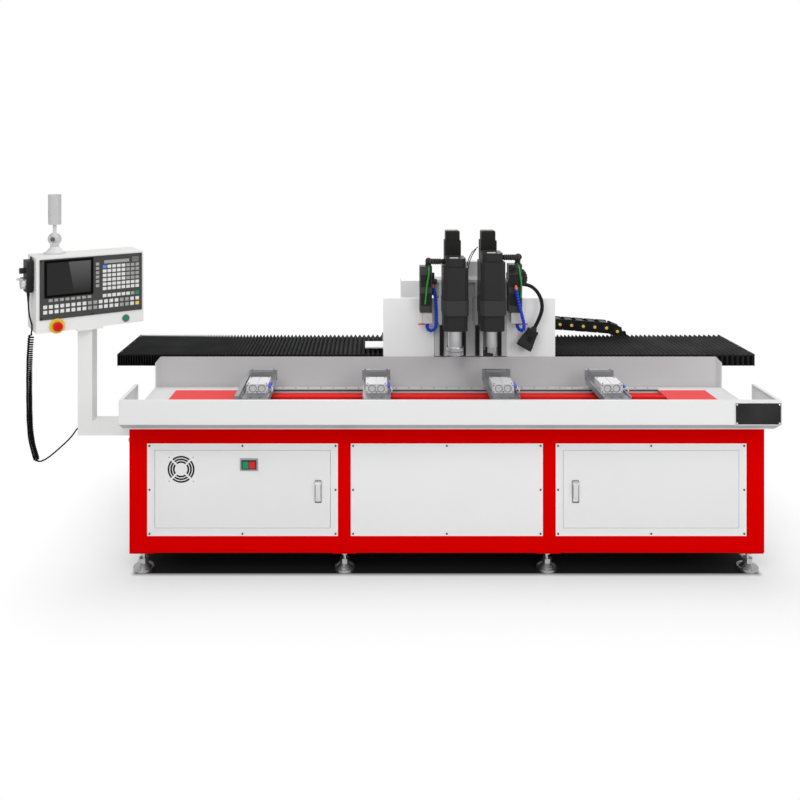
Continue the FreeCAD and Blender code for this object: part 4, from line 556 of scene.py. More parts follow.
def along(path, radius, steps=12):
    """A round section of given radius, one value or one per point, carried along a path without twist."""
    path = np.array(path, float)
    radius = np.broadcast_to(np.array(radius, float), (len(path),))
    heading = np.gradient(path, axis=0)
    heading /= np.linalg.norm(heading, axis=1)[:, None]
    side, _, _ = basis(heading[0])
    across = []
    for way in heading:
        side = side - way * np.dot(side, way)
        side = side / np.linalg.norm(side)
        across.append(side)
    across = np.array(across)
    up = np.cross(heading, across)
    angle = np.arange(steps) * tau / steps
    ring = np.cos(angle)[None, :, None] * across[:, None] + np.sin(angle)[None, :, None] * up[:, None]
    points = path[:, None] + radius[:, None, None] * ring
    return points.reshape(-1, 3), tube_faces(len(path), steps)


def tinted(number, *parts):
    """The parts with the number of their finish in the piece's list."""
    return [(points, faces, number) for points, faces in parts]


def piece(name, parts, finishes, body, smooth=False, bevel=0.0):
    """Parts become one object that rides on a body, its faces taking the finishes named in its list."""
    points, faces, numbers = [], [], []
    start = 0
    for part_points, part_faces, *number in parts:
        points.append(part_points)
        faces += [[index + start for index in face] for face in part_faces]
        numbers += (number or [0]) * len(part_faces)
        start += len(part_points)
    mesh = bpy.data.meshes.new(name)
    mesh.from_pydata(np.concatenate(points).tolist(), [], faces)
    mesh.polygons.foreach_set("material_index", numbers)
    mesh.update()
    for finish_name in finishes:
        mesh.materials.append(paint[finish_name])
    thing = put(name, mesh)
    if bevel:
        edge = thing.modifiers.new("edge", "BEVEL")
        edge.width = bevel
        edge.segments = bevel_segments
        edge.limit_method = "ANGLE"
    if smooth:
        mesh.shade_smooth()
        mesh.set_sharp_from_angle(angle=sharp_angle)
    if body:
        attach(thing, body)
    return thing


def mark_fold_shading(thing, values):
    """The fold attribute: one on a ridge, zero in a groove, for the painted highlight on ridges and painted
    shade in grooves. Points past the given values stay at one.
    """
    every = np.ones(len(thing.data.vertices))
    every[:len(values)] = values
    thing.data.attributes.new("fold", "FLOAT", "POINT").data.foreach_set("value", every)


# Bellows
bellows_low, bellows_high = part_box("bellows_left")
pleat_depth = 0.0135
pleat_pitch = {"left": (0.0120, 0.0250), "right": (0.0270, 0.0190)}
cloth_inset = 0.0005
cloth_thickness = 0.0012
end_plate = 0.003
rivets = 4
rivet_inset = 0.008
rivet_sink = 0.0008


def pleat_places(near, far, pitch):
    """Fold lines from the fixed end to the saddle, half a pleat apart, as the pitch goes from first to last."""
    way = 1 if near > far else -1
    length = abs(near - far)
    first, last = pitch
    steps = []
    while sum(steps) < length:
        share = sum(steps) / length
        steps.append((first + (last - first) * share) / 2)
    places = np.concatenate([[0], np.cumsum(steps)])
    return far + way * places * length / places[-1]


def make_bellows(side):
    """A hood section (skirt, roof, skirt) carried along X, in and out by one pleat depth at each fold."""
    low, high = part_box("bellows_" + side)
    end, near = (low[0], high[0]) if side == "left" else (high[0], low[0])
    plate_end = end - sign[side] * end_plate
    fold = pleat_places(near, plate_end, pleat_pitch[side])
    ridge = np.arange(len(fold)) % 2 == 0
    inward = np.where(ridge, cloth_inset, pleat_depth)
    front, back, top = bellows_low[1] + inward, bellows_high[1] - inward, bellows_high[2] - inward
    bottom = np.full_like(inward, bellows_low[2])
    outline = [(front, bottom), (front, top), (back, top), (back, bottom)]
    points = np.stack([np.stack([fold, y, z], axis=1) for y, z in outline], axis=1).reshape(-1, 3)
    faces = grid_faces(len(fold), len(outline), closed=False)
    if side == "left":
        faces = [face[::-1] for face in faces]
    cloth = piece("pleats_" + side, [(points, faces)], ["bellows"], None)
    mark_fold_shading(cloth, np.repeat(ridge.astype(float), len(outline)))
    wall = cloth.modifiers.new("wall", "SOLIDIFY")
    wall.thickness = cloth_thickness
    wall.offset = -1
    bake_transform(cloth)
    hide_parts("bellows_" + side)
    x0, x1 = sorted((end, plate_end))
    parts = [block(x0, x1, bellows_low[1], bellows_high[1], bellows_low[2], bellows_high[2])]
    for k in range(rivets):
        y = bellows_low[1] + (k + 0.5) * (bellows_high[1] - bellows_low[1]) / rivets
        place = (x1 - sign[side] * rivet_inset, y, bellows_high[2] - rivet_sink)
        parts += tinted(1, fitting("bellows rivet", place))
    piece("bellows_end_" + side, parts, ["plastic", "bright"], "base", bevel=0.0006)


# Cable chain. Its runs' centre lines follow from the boxes of the CAD runs.
upper_low, upper_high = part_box("cable_chain_upper")
lower_low, lower_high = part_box("cable_chain_lower")
chain_front, chain_back = upper_low[1], upper_high[1]
chain_half = (lower_high[2] - lower_low[2]) / 2
chain_upper = ((upper_low[0], upper_high[2] - chain_half), (upper_high[0], upper_low[2] + chain_half))
chain_lower = ((lower_low[0], lower_low[2] + chain_half), (lower_high[0], lower_low[2] + chain_half))
chain_pitch = 0.064
cheek = 0.008
cheek_step = 0.0018
boss_gap = 0.0002
bar_inset = 0.004
bar_heights = ((0.72, 0.95), (-0.95, -0.72))
corner_share = 0.14
bar_share = 0.55
pin_share = 0.45
bend_links = 4


def chain_link(x, z, tilt, length, place):
    """One link: two straight-edged cheeks, cross bars between them, and a yellow pin on the centre line."""
    half = length / 2
    high, nick = chain_half, chain_half * corner_share
    outline = np.array([(-half, -high + nick), (-half + nick, -high), (half - nick, -high), (half, -high + nick),
                        (half, high - nick), (half - nick, high), (-half + nick, high), (-half, high - nick)])
    set_in = cheek_step if place % 2 else 0.0
    parts = []
    for y0, y1 in ((chain_front + set_in, chain_front + cheek), (chain_back - cheek, chain_back - set_in)):
        rings = [np.insert(outline, 1, y, axis=1) for y in (y0, y1)]
        parts += tinted(0, (np.concatenate(rings), tube_faces(2, len(outline))))
    for low, top in bar_heights:
        parts += tinted(0, block(-half * bar_share, half * bar_share, chain_front + bar_inset,
                                 chain_back - bar_inset, high * low, high * top))
    pin_x = half * pin_share
    parts += tinted(0, fitting("chain boss", (pin_x, chain_front + set_in + boss_gap, 0), to_front))
    parts += tinted(1, fitting("chain pin", (pin_x, chain_front + set_in, 0), to_front))
    c, s = math.cos(tilt), math.sin(tilt)
    turn = np.array([[c, 0, s], [0, 1, 0], [-s, 0, c]])
    return [(points @ turn + (x, 0, z), faces, number) for points, faces, number in parts]


def straight_links(start, end):
    run = np.array(end) - np.array(start)
    length = np.linalg.norm(run)
    count = max(2, round(length / chain_pitch))
    parts = []
    for k in range(count):
        x, z = np.array(start) + run * (k + 0.5) / count
        parts += chain_link(x, z, math.atan2(run[1], run[0]), length / count, k)
    return parts


def bend_of_links():
    """Links on the chords of the half circle between the two runs."""
    (x, top), bottom = chain_upper[1], chain_lower[1][1]
    radius, centre = (top - bottom) / 2, (top + bottom) / 2
    half = math.pi / bend_links / 2
    parts = []
    for k in range(bend_links):
        angle = math.pi / 2 - (2 * k + 1) * half
        reach = radius * math.cos(half)
        parts += chain_link(x + reach * math.cos(angle), centre + reach * math.sin(angle),
                            angle - math.pi / 2, 2 * radius * math.sin(half), k)
    return parts


def make_chain():
    runs = {"upper": ("chain_run_upper", straight_links(*chain_upper)),
            "lower": ("chain_run_lower", straight_links(*chain_lower)),
            "bend": ("chain_turn", bend_of_links())}
    reach = {"upper": ("saddle", "chain_bend", chain_upper[0][0], chain_upper[1][0]),
             "lower": ("base", "saddle", chain_lower[0][0], 2 * chain_lower[1][0] - chain_lower[0][0])}
    for run, (name, links) in runs.items():
        body = "chain_bend" if run == "bend" else None
        chain = piece(name, links, ["plastic", "lime"], body)
        if run in reach:
            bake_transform(chain)
        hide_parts("cable_chain_" + run)


# Cords
def nurbs(name, points, radius, finish_name, resolution=6, round_steps=3):
    """A smooth line through a route's control points, with a round section."""
    curve = bpy.data.curves.new(name, "CURVE")
    curve.dimensions = "3D"
    curve.resolution_u = resolution
    curve.bevel_depth = radius
    curve.bevel_resolution = round_steps
    curve.use_fill_caps = True
    spline = curve.splines.new("NURBS")
    spline.points.add(len(points) - 1)
    flat = np.column_stack([np.array(points, float), np.ones(len(points))])
    spline.points.foreach_set("co", flat.ravel())
    spline.order_u = 3
    spline.use_endpoint_u = True
    curve.materials.append(paint[finish_name])
    return put(name, curve)


def curve_length(thing):
    """The length of a curve's own line, from its evaluated points."""
    curve = thing.data
    kept = curve.bevel_depth
    curve.bevel_depth = 0
    mesh = bpy.data.meshes.new_from_object(thing)
    curve.bevel_depth = kept
    points = np.empty(len(mesh.vertices) * 3)
    mesh.vertices.foreach_get("co", points)
    bpy.data.meshes.remove(mesh)
    return float(np.linalg.norm(np.diff(points.reshape(-1, 3), axis=0), axis=1).sum())


tool_cable_radius = 0.009
tool_cable_route = [
    (0.403, -0.033, 1.199),
    (0.440, -0.033, 1.199),
    (0.484, -0.034, 1.165),
    (0.508, -0.036, 1.108),
    (0.500, -0.038, 1.045),
    (0.462, -0.040, 0.978),
]

# The connector hood: (half width, half thickness, height) in millimetres, from the cable to the mouth
hood_steps = 24
hood_power = 0.35
hood_sections = [(25, 15, 0.6), (27, 17, 3), (28, 17, 12), (26.2, 16, 14), (35, 16.2, 70), (36.8, 17, 73),
                 (37.8, 17, 97), (37.2, 16.5, 99.4), (33, 12.5, 99.4), (32, 12, 86)]
latch = {"half width": 0.012, "out": 0.0168, "half thickness": 0.0012, "low": 0.034, "high": 0.060}
contact_height = 0.085
contact_pitch = 0.011
contact_row = 0.005
contacts_in_row = 5


def make_plug():
    """A flat hood whose section widens from the cable to a rimmed mouth, with contacts and two latches."""
    end = np.array(tool_cable_route[-1])
    way = end - np.array(tool_cable_route[-2])
    way /= np.linalg.norm(way)
    across = np.cross(way, (0.0, 1.0, 0.0))
    across /= np.linalg.norm(across)
    depth = np.cross(across, way)
    turn = np.stack([across, depth, way])
    angle = (np.arange(hood_steps) + 0.5) * tau / hood_steps
    c, s = np.cos(angle), np.sin(angle)
    rounded = np.stack([np.sign(c) * np.abs(c) ** hood_power, np.sign(s) * np.abs(s) ** hood_power], axis=1)
    rows = [np.column_stack([rounded * (w, t), np.full(hood_steps, h)])
            for w, t, h in np.array(hood_sections) * mm]
    parts = tinted(0, (np.concatenate(rows) @ turn + end, tube_faces(len(rows), hood_steps)),
                   fitting("hood collar", end, way))
    for side in (1, -1):
        middle, half = side * latch["out"], latch["half thickness"]
        points, faces = block(-latch["half width"], latch["half width"], middle - half, middle + half,
                              latch["low"], latch["high"])
        parts += tinted(2, (points @ turn + end, faces))
    for row in (1, -1):
        for k in range(contacts_in_row):
            out = across * (k - contacts_in_row // 2) * contact_pitch + depth * row * contact_row
            parts += tinted(1, fitting("hood contact", end + way * contact_height + out, way))
    plug = piece("tool_connector", parts, ["band", "brass", "plastic"], "column",
                 smooth=True)
    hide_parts("tool_plug")
    return plug


def make_tool_cable():
    cable = nurbs("tool_lead", tool_cable_route, tool_cable_radius, "rubber")
    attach(cable, "column")
    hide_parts("tool_cable")
    plug = make_plug()
    curve_length(cable)


cord_wire_radius = 0.0034
curl_radius = 0.0101
curl_turns = 66
curl_steps = 12
curl_spread = 0.9
curl_waver = 0.03
waver_rate = 41
axis_points = 400
cord_lead_route = [
    (-1.8168, -0.4783, 1.2330),
    (-1.8168, -0.4783, 1.1850),
    (-1.8120, -0.4780, 1.1350),
    (-1.7990, -0.4765, 1.0980),
]
curl_route = [
    (-1.8040, -0.4785, 1.0600),
    (-1.8110, -0.4800, 0.9600),
    (-1.8125, -0.4785, 0.8000),
    (-1.8110, -0.4760, 0.6600),
    (-1.8030, -0.4730, 0.5850),
    (-1.7870, -0.4700, 0.5260),
]
cord_tail_route = [
    (-1.7820, -0.4690, 0.5080),
    (-1.7670, -0.4660, 0.5020),
    (-1.7350, -0.4520, 0.5180),
    (-1.7000, -0.4300, 0.5480),
    (-1.6710, -0.4020, 0.5730),
    (-1.6520, -0.3780, 0.5980),
    (-1.6440, -0.3680, 0.6170),
    (-1.6310, -0.3680, 0.6170),
]


def make_pendant_cord():
    """Lead, helix and tail as one line. The helix: axis point + r(cos a, sin a) in the plane across it."""
    share = np.linspace(0, 1, curl_turns * curl_steps + 1)
    angle = share * curl_turns * tau
    share = share ** curl_spread
    axis = smooth_route(curl_route + cord_tail_route[:1], axis_points)
    middle = points_at(axis, share * run_of(axis)[-1])
    way = np.gradient(middle, axis=0)
    side = np.cross(way, (0.0, 1.0, 0.0))
    side /= np.linalg.norm(side, axis=1)[:, None]
    up = np.cross(side, way)
    up /= np.linalg.norm(up, axis=1)[:, None]
    fade = np.clip(np.minimum(share, 1 - share) * curl_turns, 0, 1)
    reach = curl_radius * fade * (1 + curl_waver * np.sin(share * waver_rate))
    coil = middle + (reach * np.cos(angle))[:, None] * side + (reach * np.sin(angle))[:, None] * up
    points = np.concatenate([cord_lead_route, coil, cord_tail_route[1:]])
    cord = nurbs("pendant_lead", points, cord_wire_radius, "cord", resolution=2, round_steps=2)
    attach(cord, "base")
    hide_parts("pendant_cord")
    relief = fitting("cord relief", cord_lead_route[0], downward)
    piece("pendant_relief", [relief], ["rubber"], "base", smooth=True)
    curve_length(cord)


# Hoses and conduits: pitch, radius and waist, which is a share of the radius
hose_form = (0.0140, 0.00864, 0.62)
conduit_form = (0.0110, 0.0148, 0.68)
sleeve_form = (0.0110, 0.0134, 0.68)
swell_steps = 8
swell_power = 0.5
hose_steps = 16
hose_points = 300
hose_routes = {
    "left": [(-0.054, -0.035, 1.012), (-0.058, -0.035, 0.992), (-0.050, -0.036, 0.975), (-0.028, -0.038, 0.972),
             (-0.012, -0.038, 0.995), (-0.010, -0.037, 1.060), (-0.014, -0.036, 1.120), (-0.026, -0.035, 1.184)],
    "right": [(0.382, -0.035, 1.012), (0.384, -0.048, 0.990), (0.396, -0.064, 0.978), (0.412, -0.076, 0.990),
              (0.404, -0.080, 1.040), (0.384, -0.080, 1.110), (0.371, -0.079, 1.184)],
}
sleeve_route = [(0.394, -0.036, 1.268), (0.410, -0.036, 1.262), (0.422, -0.035, 1.238), (0.420, -0.034, 1.210),
                (0.410, -0.033, 1.199)]

# Each conduit leaves its head at x0, z0, runs in front of the machine and drops to its valve box at x1, z1
conduit_ends = {"left": (0.008, -0.051, 1.318, 1.290), "right": (0.307, 0.386, 1.338, 1.300)}
conduit_front, conduit_back = -0.0845, -0.0335
conduit_lead = 0.016
conduit_corner = 0.012
conduit_bend = 0.008
conduit_drop = 0.006
gland_inset = 0.014


def segmented(route, pitch, radius, waist):
    """A ball-jointed hose: its radius swells once a pitch, from a waist to full. Also gives the swell."""
    line = smooth_route(route, hose_points)
    length = run_of(line)[-1]
    count = max(swell_steps, int(length / pitch) * swell_steps)
    run = np.linspace(0, length, count + 1)
    swell = np.abs(np.sin(run / pitch * math.pi)) ** swell_power
    hose = along(points_at(line, run), radius * (waist + (1 - waist) * swell), steps=hose_steps)
    return hose, np.repeat(swell, hose_steps)


def make_hoses():
    hoses, nozzles, fold_shading = [], [], []
    for route in hose_routes.values():
        hose, fold = segmented(route, *hose_form)
        hoses += tinted(0, hose)
        fold_shading.append(fold)
        nozzles += tinted(1, fitting("hose nozzle", route[-1], np.subtract(route[-1], route[-2])))
    lines = piece("coolant_lines", hoses + nozzles, ["hose", "orange"], "column", smooth=True)
    mark_fold_shading(lines, np.concatenate(fold_shading))
    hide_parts("coolant_hoses")


def make_conduit(side):
    """Corrugated conduit out of a head's side, back, and down onto its valve box."""
    x0, x1, z0, z1 = conduit_ends[side]
    y0, y1 = conduit_front, conduit_back
    out = sign[side]
    head = "head_" + side + "_body"
    route = [(x0, y0, z0), (x0 + out * conduit_lead, y0, z0), (x1 - out * conduit_corner, y0, z0),
             (x1, y0 + conduit_bend, z0), (x1, y1 - conduit_corner, z0), (x1, y1, z0 - conduit_drop),
             (x1, y1, z1)]
    hose, fold = segmented(route, *conduit_form)
    tube = piece("conduit_" + side, [hose], ["conduit"], None, smooth=True)
    mark_fold_shading(tube, fold)
    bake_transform(tube)
    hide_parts("conduits")
    gland = fitting("conduit gland", (x0 - out * gland_inset, y0, z0), (out, 0, 0))
    piece("gland_" + side, [gland], ["plastic"], head, bevel=0.0006)
    foot = fitting("conduit foot", (x1, y1, z1))
    piece("gland_foot_" + side, [foot], ["plastic"], "column", smooth=True)


def make_cable_sleeve():
    """A short corrugated sleeve from the right valve box over the start of the tool cable."""
    hose, fold = segmented(sleeve_route, *sleeve_form)
    sleeve = piece("cable_sleeve", [hose], ["conduit"], "column", smooth=True)
    mark_fold_shading(sleeve, fold)


# Control panel, in the box's own directions
panel_front = -0.094
panel_left, panel_right = -0.2175, 0.2225
panel_low, panel_high = 1.129, 1.388
panel_screw = (0.0038, 0.0022)
panel_screw_inset = 0.0065
screen_left, screen_top = panel_left + 0.0185, panel_high - 0.005
screen_wide, screen_high = 0.204, 0.160
screen_rim = 0.010
screen_out = 0.004
glass_out, glass_back = 0.0024, 0.0002
strip_left, strip_right = panel_left + 0.270, panel_left + 0.382
strip_heights = (panel_high - 0.036, panel_high - 0.022)
strip_out = 0.0008
flap_left, flap_right = panel_left + 0.394, panel_left + 0.424
flap_heights = (panel_high - 0.038, panel_high - 0.014)
flap_out = 0.004

# Fields of keys: left, top, columns, rows, pitch across and down, width and height of a key
key_out = 0.0018
key_inset = 0.0008
menu_left = panel_left + 0.2415
grid_left = panel_left + 0.2725
grid_pitch = 0.0208
grid_columns = 8
foot_left = panel_left + 0.022
foot_columns = 18
foot_pitch = (grid_left + (grid_columns - 1) * grid_pitch - foot_left) / (foot_columns - 1)
last_key_high = 0.018
key_fields = {
    "menu": (menu_left, panel_high - 0.036, 1, 6, 0, 0.0192, 0.0150, 0.0130),
    "under screen": (panel_left + 0.044, panel_high - 0.177, 8, 1, 0.0232, 0, 0.0165, 0.0125),
    "grid": (grid_left, panel_high - 0.050, grid_columns, 6, grid_pitch, 0.0195, 0.0165, 0.0140),
    "under grid": (grid_left, panel_high - 0.179, grid_columns, 1, grid_pitch, 0, 0.0165, 0.0145),
    "foot": (foot_left, panel_high - 0.204, foot_columns, 2, foot_pitch, 0.0225, 0.0165, 0.0155),
}
key_finishes = ["key", "key grey", "sky", "green", "yellow"]
grey_foot_columns = (8, 9, 14, 15)


def on_box(points):
    """Points given in the control box's own directions, turned about its upright line."""
    c, s = math.cos(box_turn), math.sin(box_turn)
    return np.array(points) @ np.array([[c, s, 0], [-s, c, 0], [0, 0, 1]]) + (*box_centre, 0)


def box_blocks(*blocks):
    return [(on_box(points), faces) for points, faces in blocks]


def key_block(u, z, w, h):
    """A domed key: a rectangle that narrows a little as it rises from the film."""
    corners = np.array([(-1, 0, -1), (1, 0, -1), (1, 0, 1), (-1, 0, 1)])
    foot = corners * (w / 2, 0, h / 2)
    top = corners * (w / 2 - key_inset, 0, h / 2 - key_inset) - (0, key_out, 0)
    faces = [[4, 5, 6, 7], [0, 1, 5, 4], [1, 2, 6, 5], [2, 3, 7, 6], [3, 0, 4, 7], [3, 2, 1, 0]]
    return np.concatenate([foot, top]) + (u, panel_front, z), faces


def key_finish(field, row, column):
    """The finish of a key: light, with grey ones beside them and one each in blue, green and yellow."""
    if field == "grid":
        return "sky" if row == column == 0 else "key grey" if column > 4 and row < 4 else "key"
    if field == "under grid":
        return "green" if column == grid_columns - 1 else "key grey" if column > 5 else "key"
    if field == "foot":
        last = row == 1 and column == foot_columns - 1
        return "yellow" if last else "key grey" if column in grey_foot_columns else "key"
    return "key grey"


def make_keys():
    parts = []
    for field, (left, top, columns, rows, across, down, w, h) in key_fields.items():
        for row in range(rows):
            for column in range(columns):
                tone = key_finish(field, row, column)
                high = last_key_high if tone == "green" else h
                key = key_block(left + column * across, top - row * down, w, high)
                parts += tinted(key_finishes.index(tone), *box_blocks(key))
    piece("panel_keys", parts, key_finishes, "base")


def make_screen():
    """The raised screen surround, its glass, a bare strip and the small port flap beside it."""
    right, low = screen_left + screen_wide, screen_top - screen_high
    rim = edge_bars(screen_left, right, panel_front - screen_out, panel_front, low, screen_top, screen_rim)
    glass = block(screen_left + screen_rim, right - screen_rim, panel_front - glass_out,
                  panel_front - glass_back, low + screen_rim, screen_top - screen_rim)
    strip = block(strip_left, strip_right, panel_front - strip_out, panel_front, *strip_heights)
    flap = block(flap_left, flap_right, panel_front - flap_out, panel_front, *flap_heights)
    parts = tinted(0, *box_blocks(*rim)) + tinted(1, *box_blocks(glass))
    parts += tinted(2, *box_blocks(strip)) + tinted(3, *box_blocks(flap))
    piece("panel_screen", parts, ["rim", "screen", "key grey", "key soft"], "base",
          bevel=0.0008)
    inset = panel_screw_inset
    screws = [socket_screw(on_box((u, panel_front, z)), box_out, *panel_screw)
              for u in (panel_left + inset, (panel_left + panel_right) / 2, panel_right - inset)
              for z in (panel_low + inset, panel_high - inset)]
    piece("panel_fixings", screws, ["black"], "base", smooth=True)


# Bare name plate on the trough's apron
plate_x, plate_z = (1.190, 1.386), (0.708, 0.804)
plate_rim = 0.004
plate_out, plate_face_out, plate_face_back = 0.0012, 0.0020, 0.0010
plate_rivet_inset = 0.009
plate_rivet_out = 0.0018


def make_name_plate():
    """A bare black plate in a silver rim, with a rivet in each corner."""
    (x0, x1), (z0, z1), y, rim = plate_x, plate_z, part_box("trough")[0][1], plate_rim
    parts = tinted(0, block(x0, x1, y - plate_out, y, z0, z1))
    parts += tinted(1, block(x0 + rim, x1 - rim, y - plate_face_out, y - plate_face_back, z0 + rim, z1 - rim))
    for x in (x0 + plate_rivet_inset, x1 - plate_rivet_inset):
        for z in (z0 + plate_rivet_inset, z1 - plate_rivet_inset):
            parts += tinted(2, fitting("plate rivet", (x, y - plate_rivet_out, z), to_front))
    piece("name_plate", parts, ["silver", "plate face", "bright"], "base", bevel=0.0004)


# Rings: outer and inner radius, face and back
estop_place, start_place = (-0.1468, -0.090, 1.098), (0.1493, -0.090, 1.0975)
estop_ring = (0.0325, 0.0115, 0.0052, 0.0031)
start_ring = (0.0165, 0.0108, 0.0056, 0.0031)
knuckle_ring = (0.0100, 0.0072, 0.0008, -0.003)
knuckle_height = 1.4605
cylinder_ring = (0.0176, 0.0150, 0.0009, -0.0040)


def make_box_rings():
    """The yellow disc behind the emergency stop and the dark ring of the start button."""
    disc = flat_ring(*estop_ring, on_box(estop_place), box_out)
    collar = flat_ring(*start_ring, on_box(start_place), box_out)
    piece("estop_disc", [disc], ["yellow"], "base", smooth=True)
    piece("start_collar", [collar], ["key soft"], "base", smooth=True)


def make_lamp_screw():
    """A socket screw in a dark ring at the middle of the lamp's knuckle."""
    low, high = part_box("lamp_elbow")
    place = ((low[0] + high[0]) / 2, low[1], knuckle_height)
    parts = [flat_ring(*knuckle_ring, place, to_front, 28), fitting("knuckle screw", place, to_front)]
    piece("knuckle_screw", parts, ["key soft"], "lamp_elbow_body", smooth=True)


# Thin wires: radius, steps round, points along, routes
earth_wires = (0.0044, 10, 60, [
    [(-0.050, -0.040, 1.296), (-0.049, -0.067, 1.284), (-0.050, -0.071, 1.250), (-0.059, -0.072, 1.206),
     (-0.064, -0.071, 1.150), (-0.068, -0.064, 1.108)],
    [(0.380, -0.040, 1.304), (0.387, -0.068, 1.292), (0.391, -0.072, 1.250), (0.399, -0.072, 1.200),
     (0.396, -0.066, 1.140)]])
head_leads = (0.0022, 8, 40, [
    [(0.196, 0.060, 1.360), (0.176, 0.060, 1.330), (0.160, 0.062, 1.290), (0.152, 0.070, 1.215)],
    [(0.205, 0.060, 1.370), (0.170, 0.060, 1.340), (0.152, 0.064, 1.290), (0.146, 0.070, 1.215)]])


def wires(radius, steps, count, routes):
    return [along(smooth_route(route, count), radius, steps) for route in routes]


def make_wires():
    """Green earth wires that hang over the two valve boxes, and two thin black leads between the heads."""
    piece("earth_wires", wires(*earth_wires), ["green wire"], "column", smooth=True)
    piece("head_leads", wires(*head_leads), ["cord"], "column", smooth=True)


# Valve boxes
valves_low, valves_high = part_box("coolant_valves")
valve_wide = {"left": 0.059, "right": 0.065}
valve_spans = {"left": (valves_low[0], valves_low[0] + valve_wide["left"]),
               "right": (valves_high[0] - valve_wide["right"], valves_high[0])}
knob_x, knob_z = 0.356, 1.279
solenoid_place = (valve_spans["left"][1], -0.040, 1.214)
cover_inset = 0.004
cover_y = (valves_low[1] - 0.002, valves_low[1] + 0.0005)
cover_heights = ((1.100, 1.160), (1.190, 1.250))


def make_valve_parts():
    """A knob on the right valve box, a solenoid at the side of the left one, and two covers on each."""
    parts = [fitting("valve knob", (knob_x, valves_low[1], knob_z), to_front),
             fitting("solenoid nut", solenoid_place, to_right),
             fitting("solenoid coil", solenoid_place, to_right)]
    piece("valve_knobs", parts, ["plastic"], "column", smooth=True)
    covers = [block(x0 + cover_inset, x1 - cover_inset, *cover_y, *heights)
              for x0, x1 in valve_spans.values() for heights in cover_heights]
    piece("valve_covers", covers, ["plastic"], "column", bevel=0.0012)


# Heads and their rails
# Pale strips on the head caps: a painted highlight where each cap's top catches the light
highlight_middle = {"left": 0.0625, "right": 0.239}
highlight_half = 0.020
highlight_depth = (-0.158, -0.149)
highlight_sink, highlight_rise = 0.0004, 0.0035
rail_offset = 0.054
rail_screw = (0.0036, 0.0022)
rail_screw_sink = 0.0025
rail_screws = 6
rail_first, rail_step = 0.030, 0.060


def make_head_highlight_strips():
    """A pale strip on the cap of each head, in front of its motor: a painted highlight where the cap's top
    catches the light.
    """
    for side, x in highlight_middle.items():
        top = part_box("head_" + side)[1][2]
        strip = block(x - highlight_half, x + highlight_half, *highlight_depth, top - highlight_sink, top + highlight_rise)
        piece("cap_highlight_" + side, [strip], ["key"], "head_" + side + "_body", bevel=0.0006)


def make_rail_screws():
    """Cap screws sunk in the holes of the Z rails, two columns to a head."""
    low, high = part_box("z_rails")
    parts = []
    for side in sides:
        head_low, head_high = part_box("head_" + side)
        for way in (-1, 1):
            x = (head_low[0] + head_high[0]) / 2 + way * rail_offset
            for k in range(rail_screws):
                place = (x, low[1] + rail_screw_sink, high[2] - rail_first - k * rail_step)
                parts.append(socket_screw(place, to_front, *rail_screw))
    piece("rail_fixings", parts, ["black"], "column", smooth=True)


# Bed rails: their run along X, their middles across, their top
bed_rail_x = (-0.9000, 1.0370)
bed_rail_y = (-0.380, -0.125)
bed_rail_top = 0.7200
bed_screw_step = 0.060
bed_screw_sink = 0.0001
groove_offset = 0.010
groove_half = 0.0004
groove_heights = (bed_rail_top - 0.0130, bed_rail_top - 0.0065)


def make_bed_rail_trim():
    """Countersunk screws along the top of the two clamp rails, and a dark groove down each long side."""
    x0, x1 = bed_rail_x
    count = int((x1 - x0) / bed_screw_step)
    screws, grooves = [], []
    for y in bed_rail_y:
        screws += [fitting("rail screw", (x0 + (k + 0.5) * bed_screw_step, y, bed_rail_top - bed_screw_sink))
                   for k in range(count)]
        for face in (y - groove_offset, y + groove_offset):
            grooves.append(block(x0, x1, face - groove_half, face + groove_half, *groove_heights))
    piece("bed_rail_screws", screws, ["black"], "base", smooth=True)
    piece("bed_rail_grooves", grooves, ["band"], "base")


# Clamps. Places are from the jaw's middle or its faces, screws are (radius, height).
clamps = range(1, 5)
cylinder_x = 0.02025
cylinder_sink = 0.0055
face_screw, face_screw_out, face_screw_edge = (0.0026, 0.0012), 0.0002, 0.0055
outer_screw_x, inner_screw_x = 0.0435, 0.002
top_screw, top_screw_x, top_screw_edge, top_screw_sink = (0.0036, 0.0016), 0.040, 0.012, 0.0004
push_in_y = (0.010, 0.034, 0.058)
push_in_rise, push_in_sink = 0.006, 0.0002
tube_radius = 0.0026
tube_route = [(0.012, 0.010, 0.006), (0.022, 0.004, 0), (0.020, -0.022, -0.006)]
base_screw, base_screw_x, base_screw_y, base_screw_z = (0.0050, 0.0075), 0.020, (-0.384, -0.136), 0.7452
back_screw, back_screw_x, back_screw_y, back_screw_z = (0.0034, 0.0018), 0.052, -0.1112, 0.8048


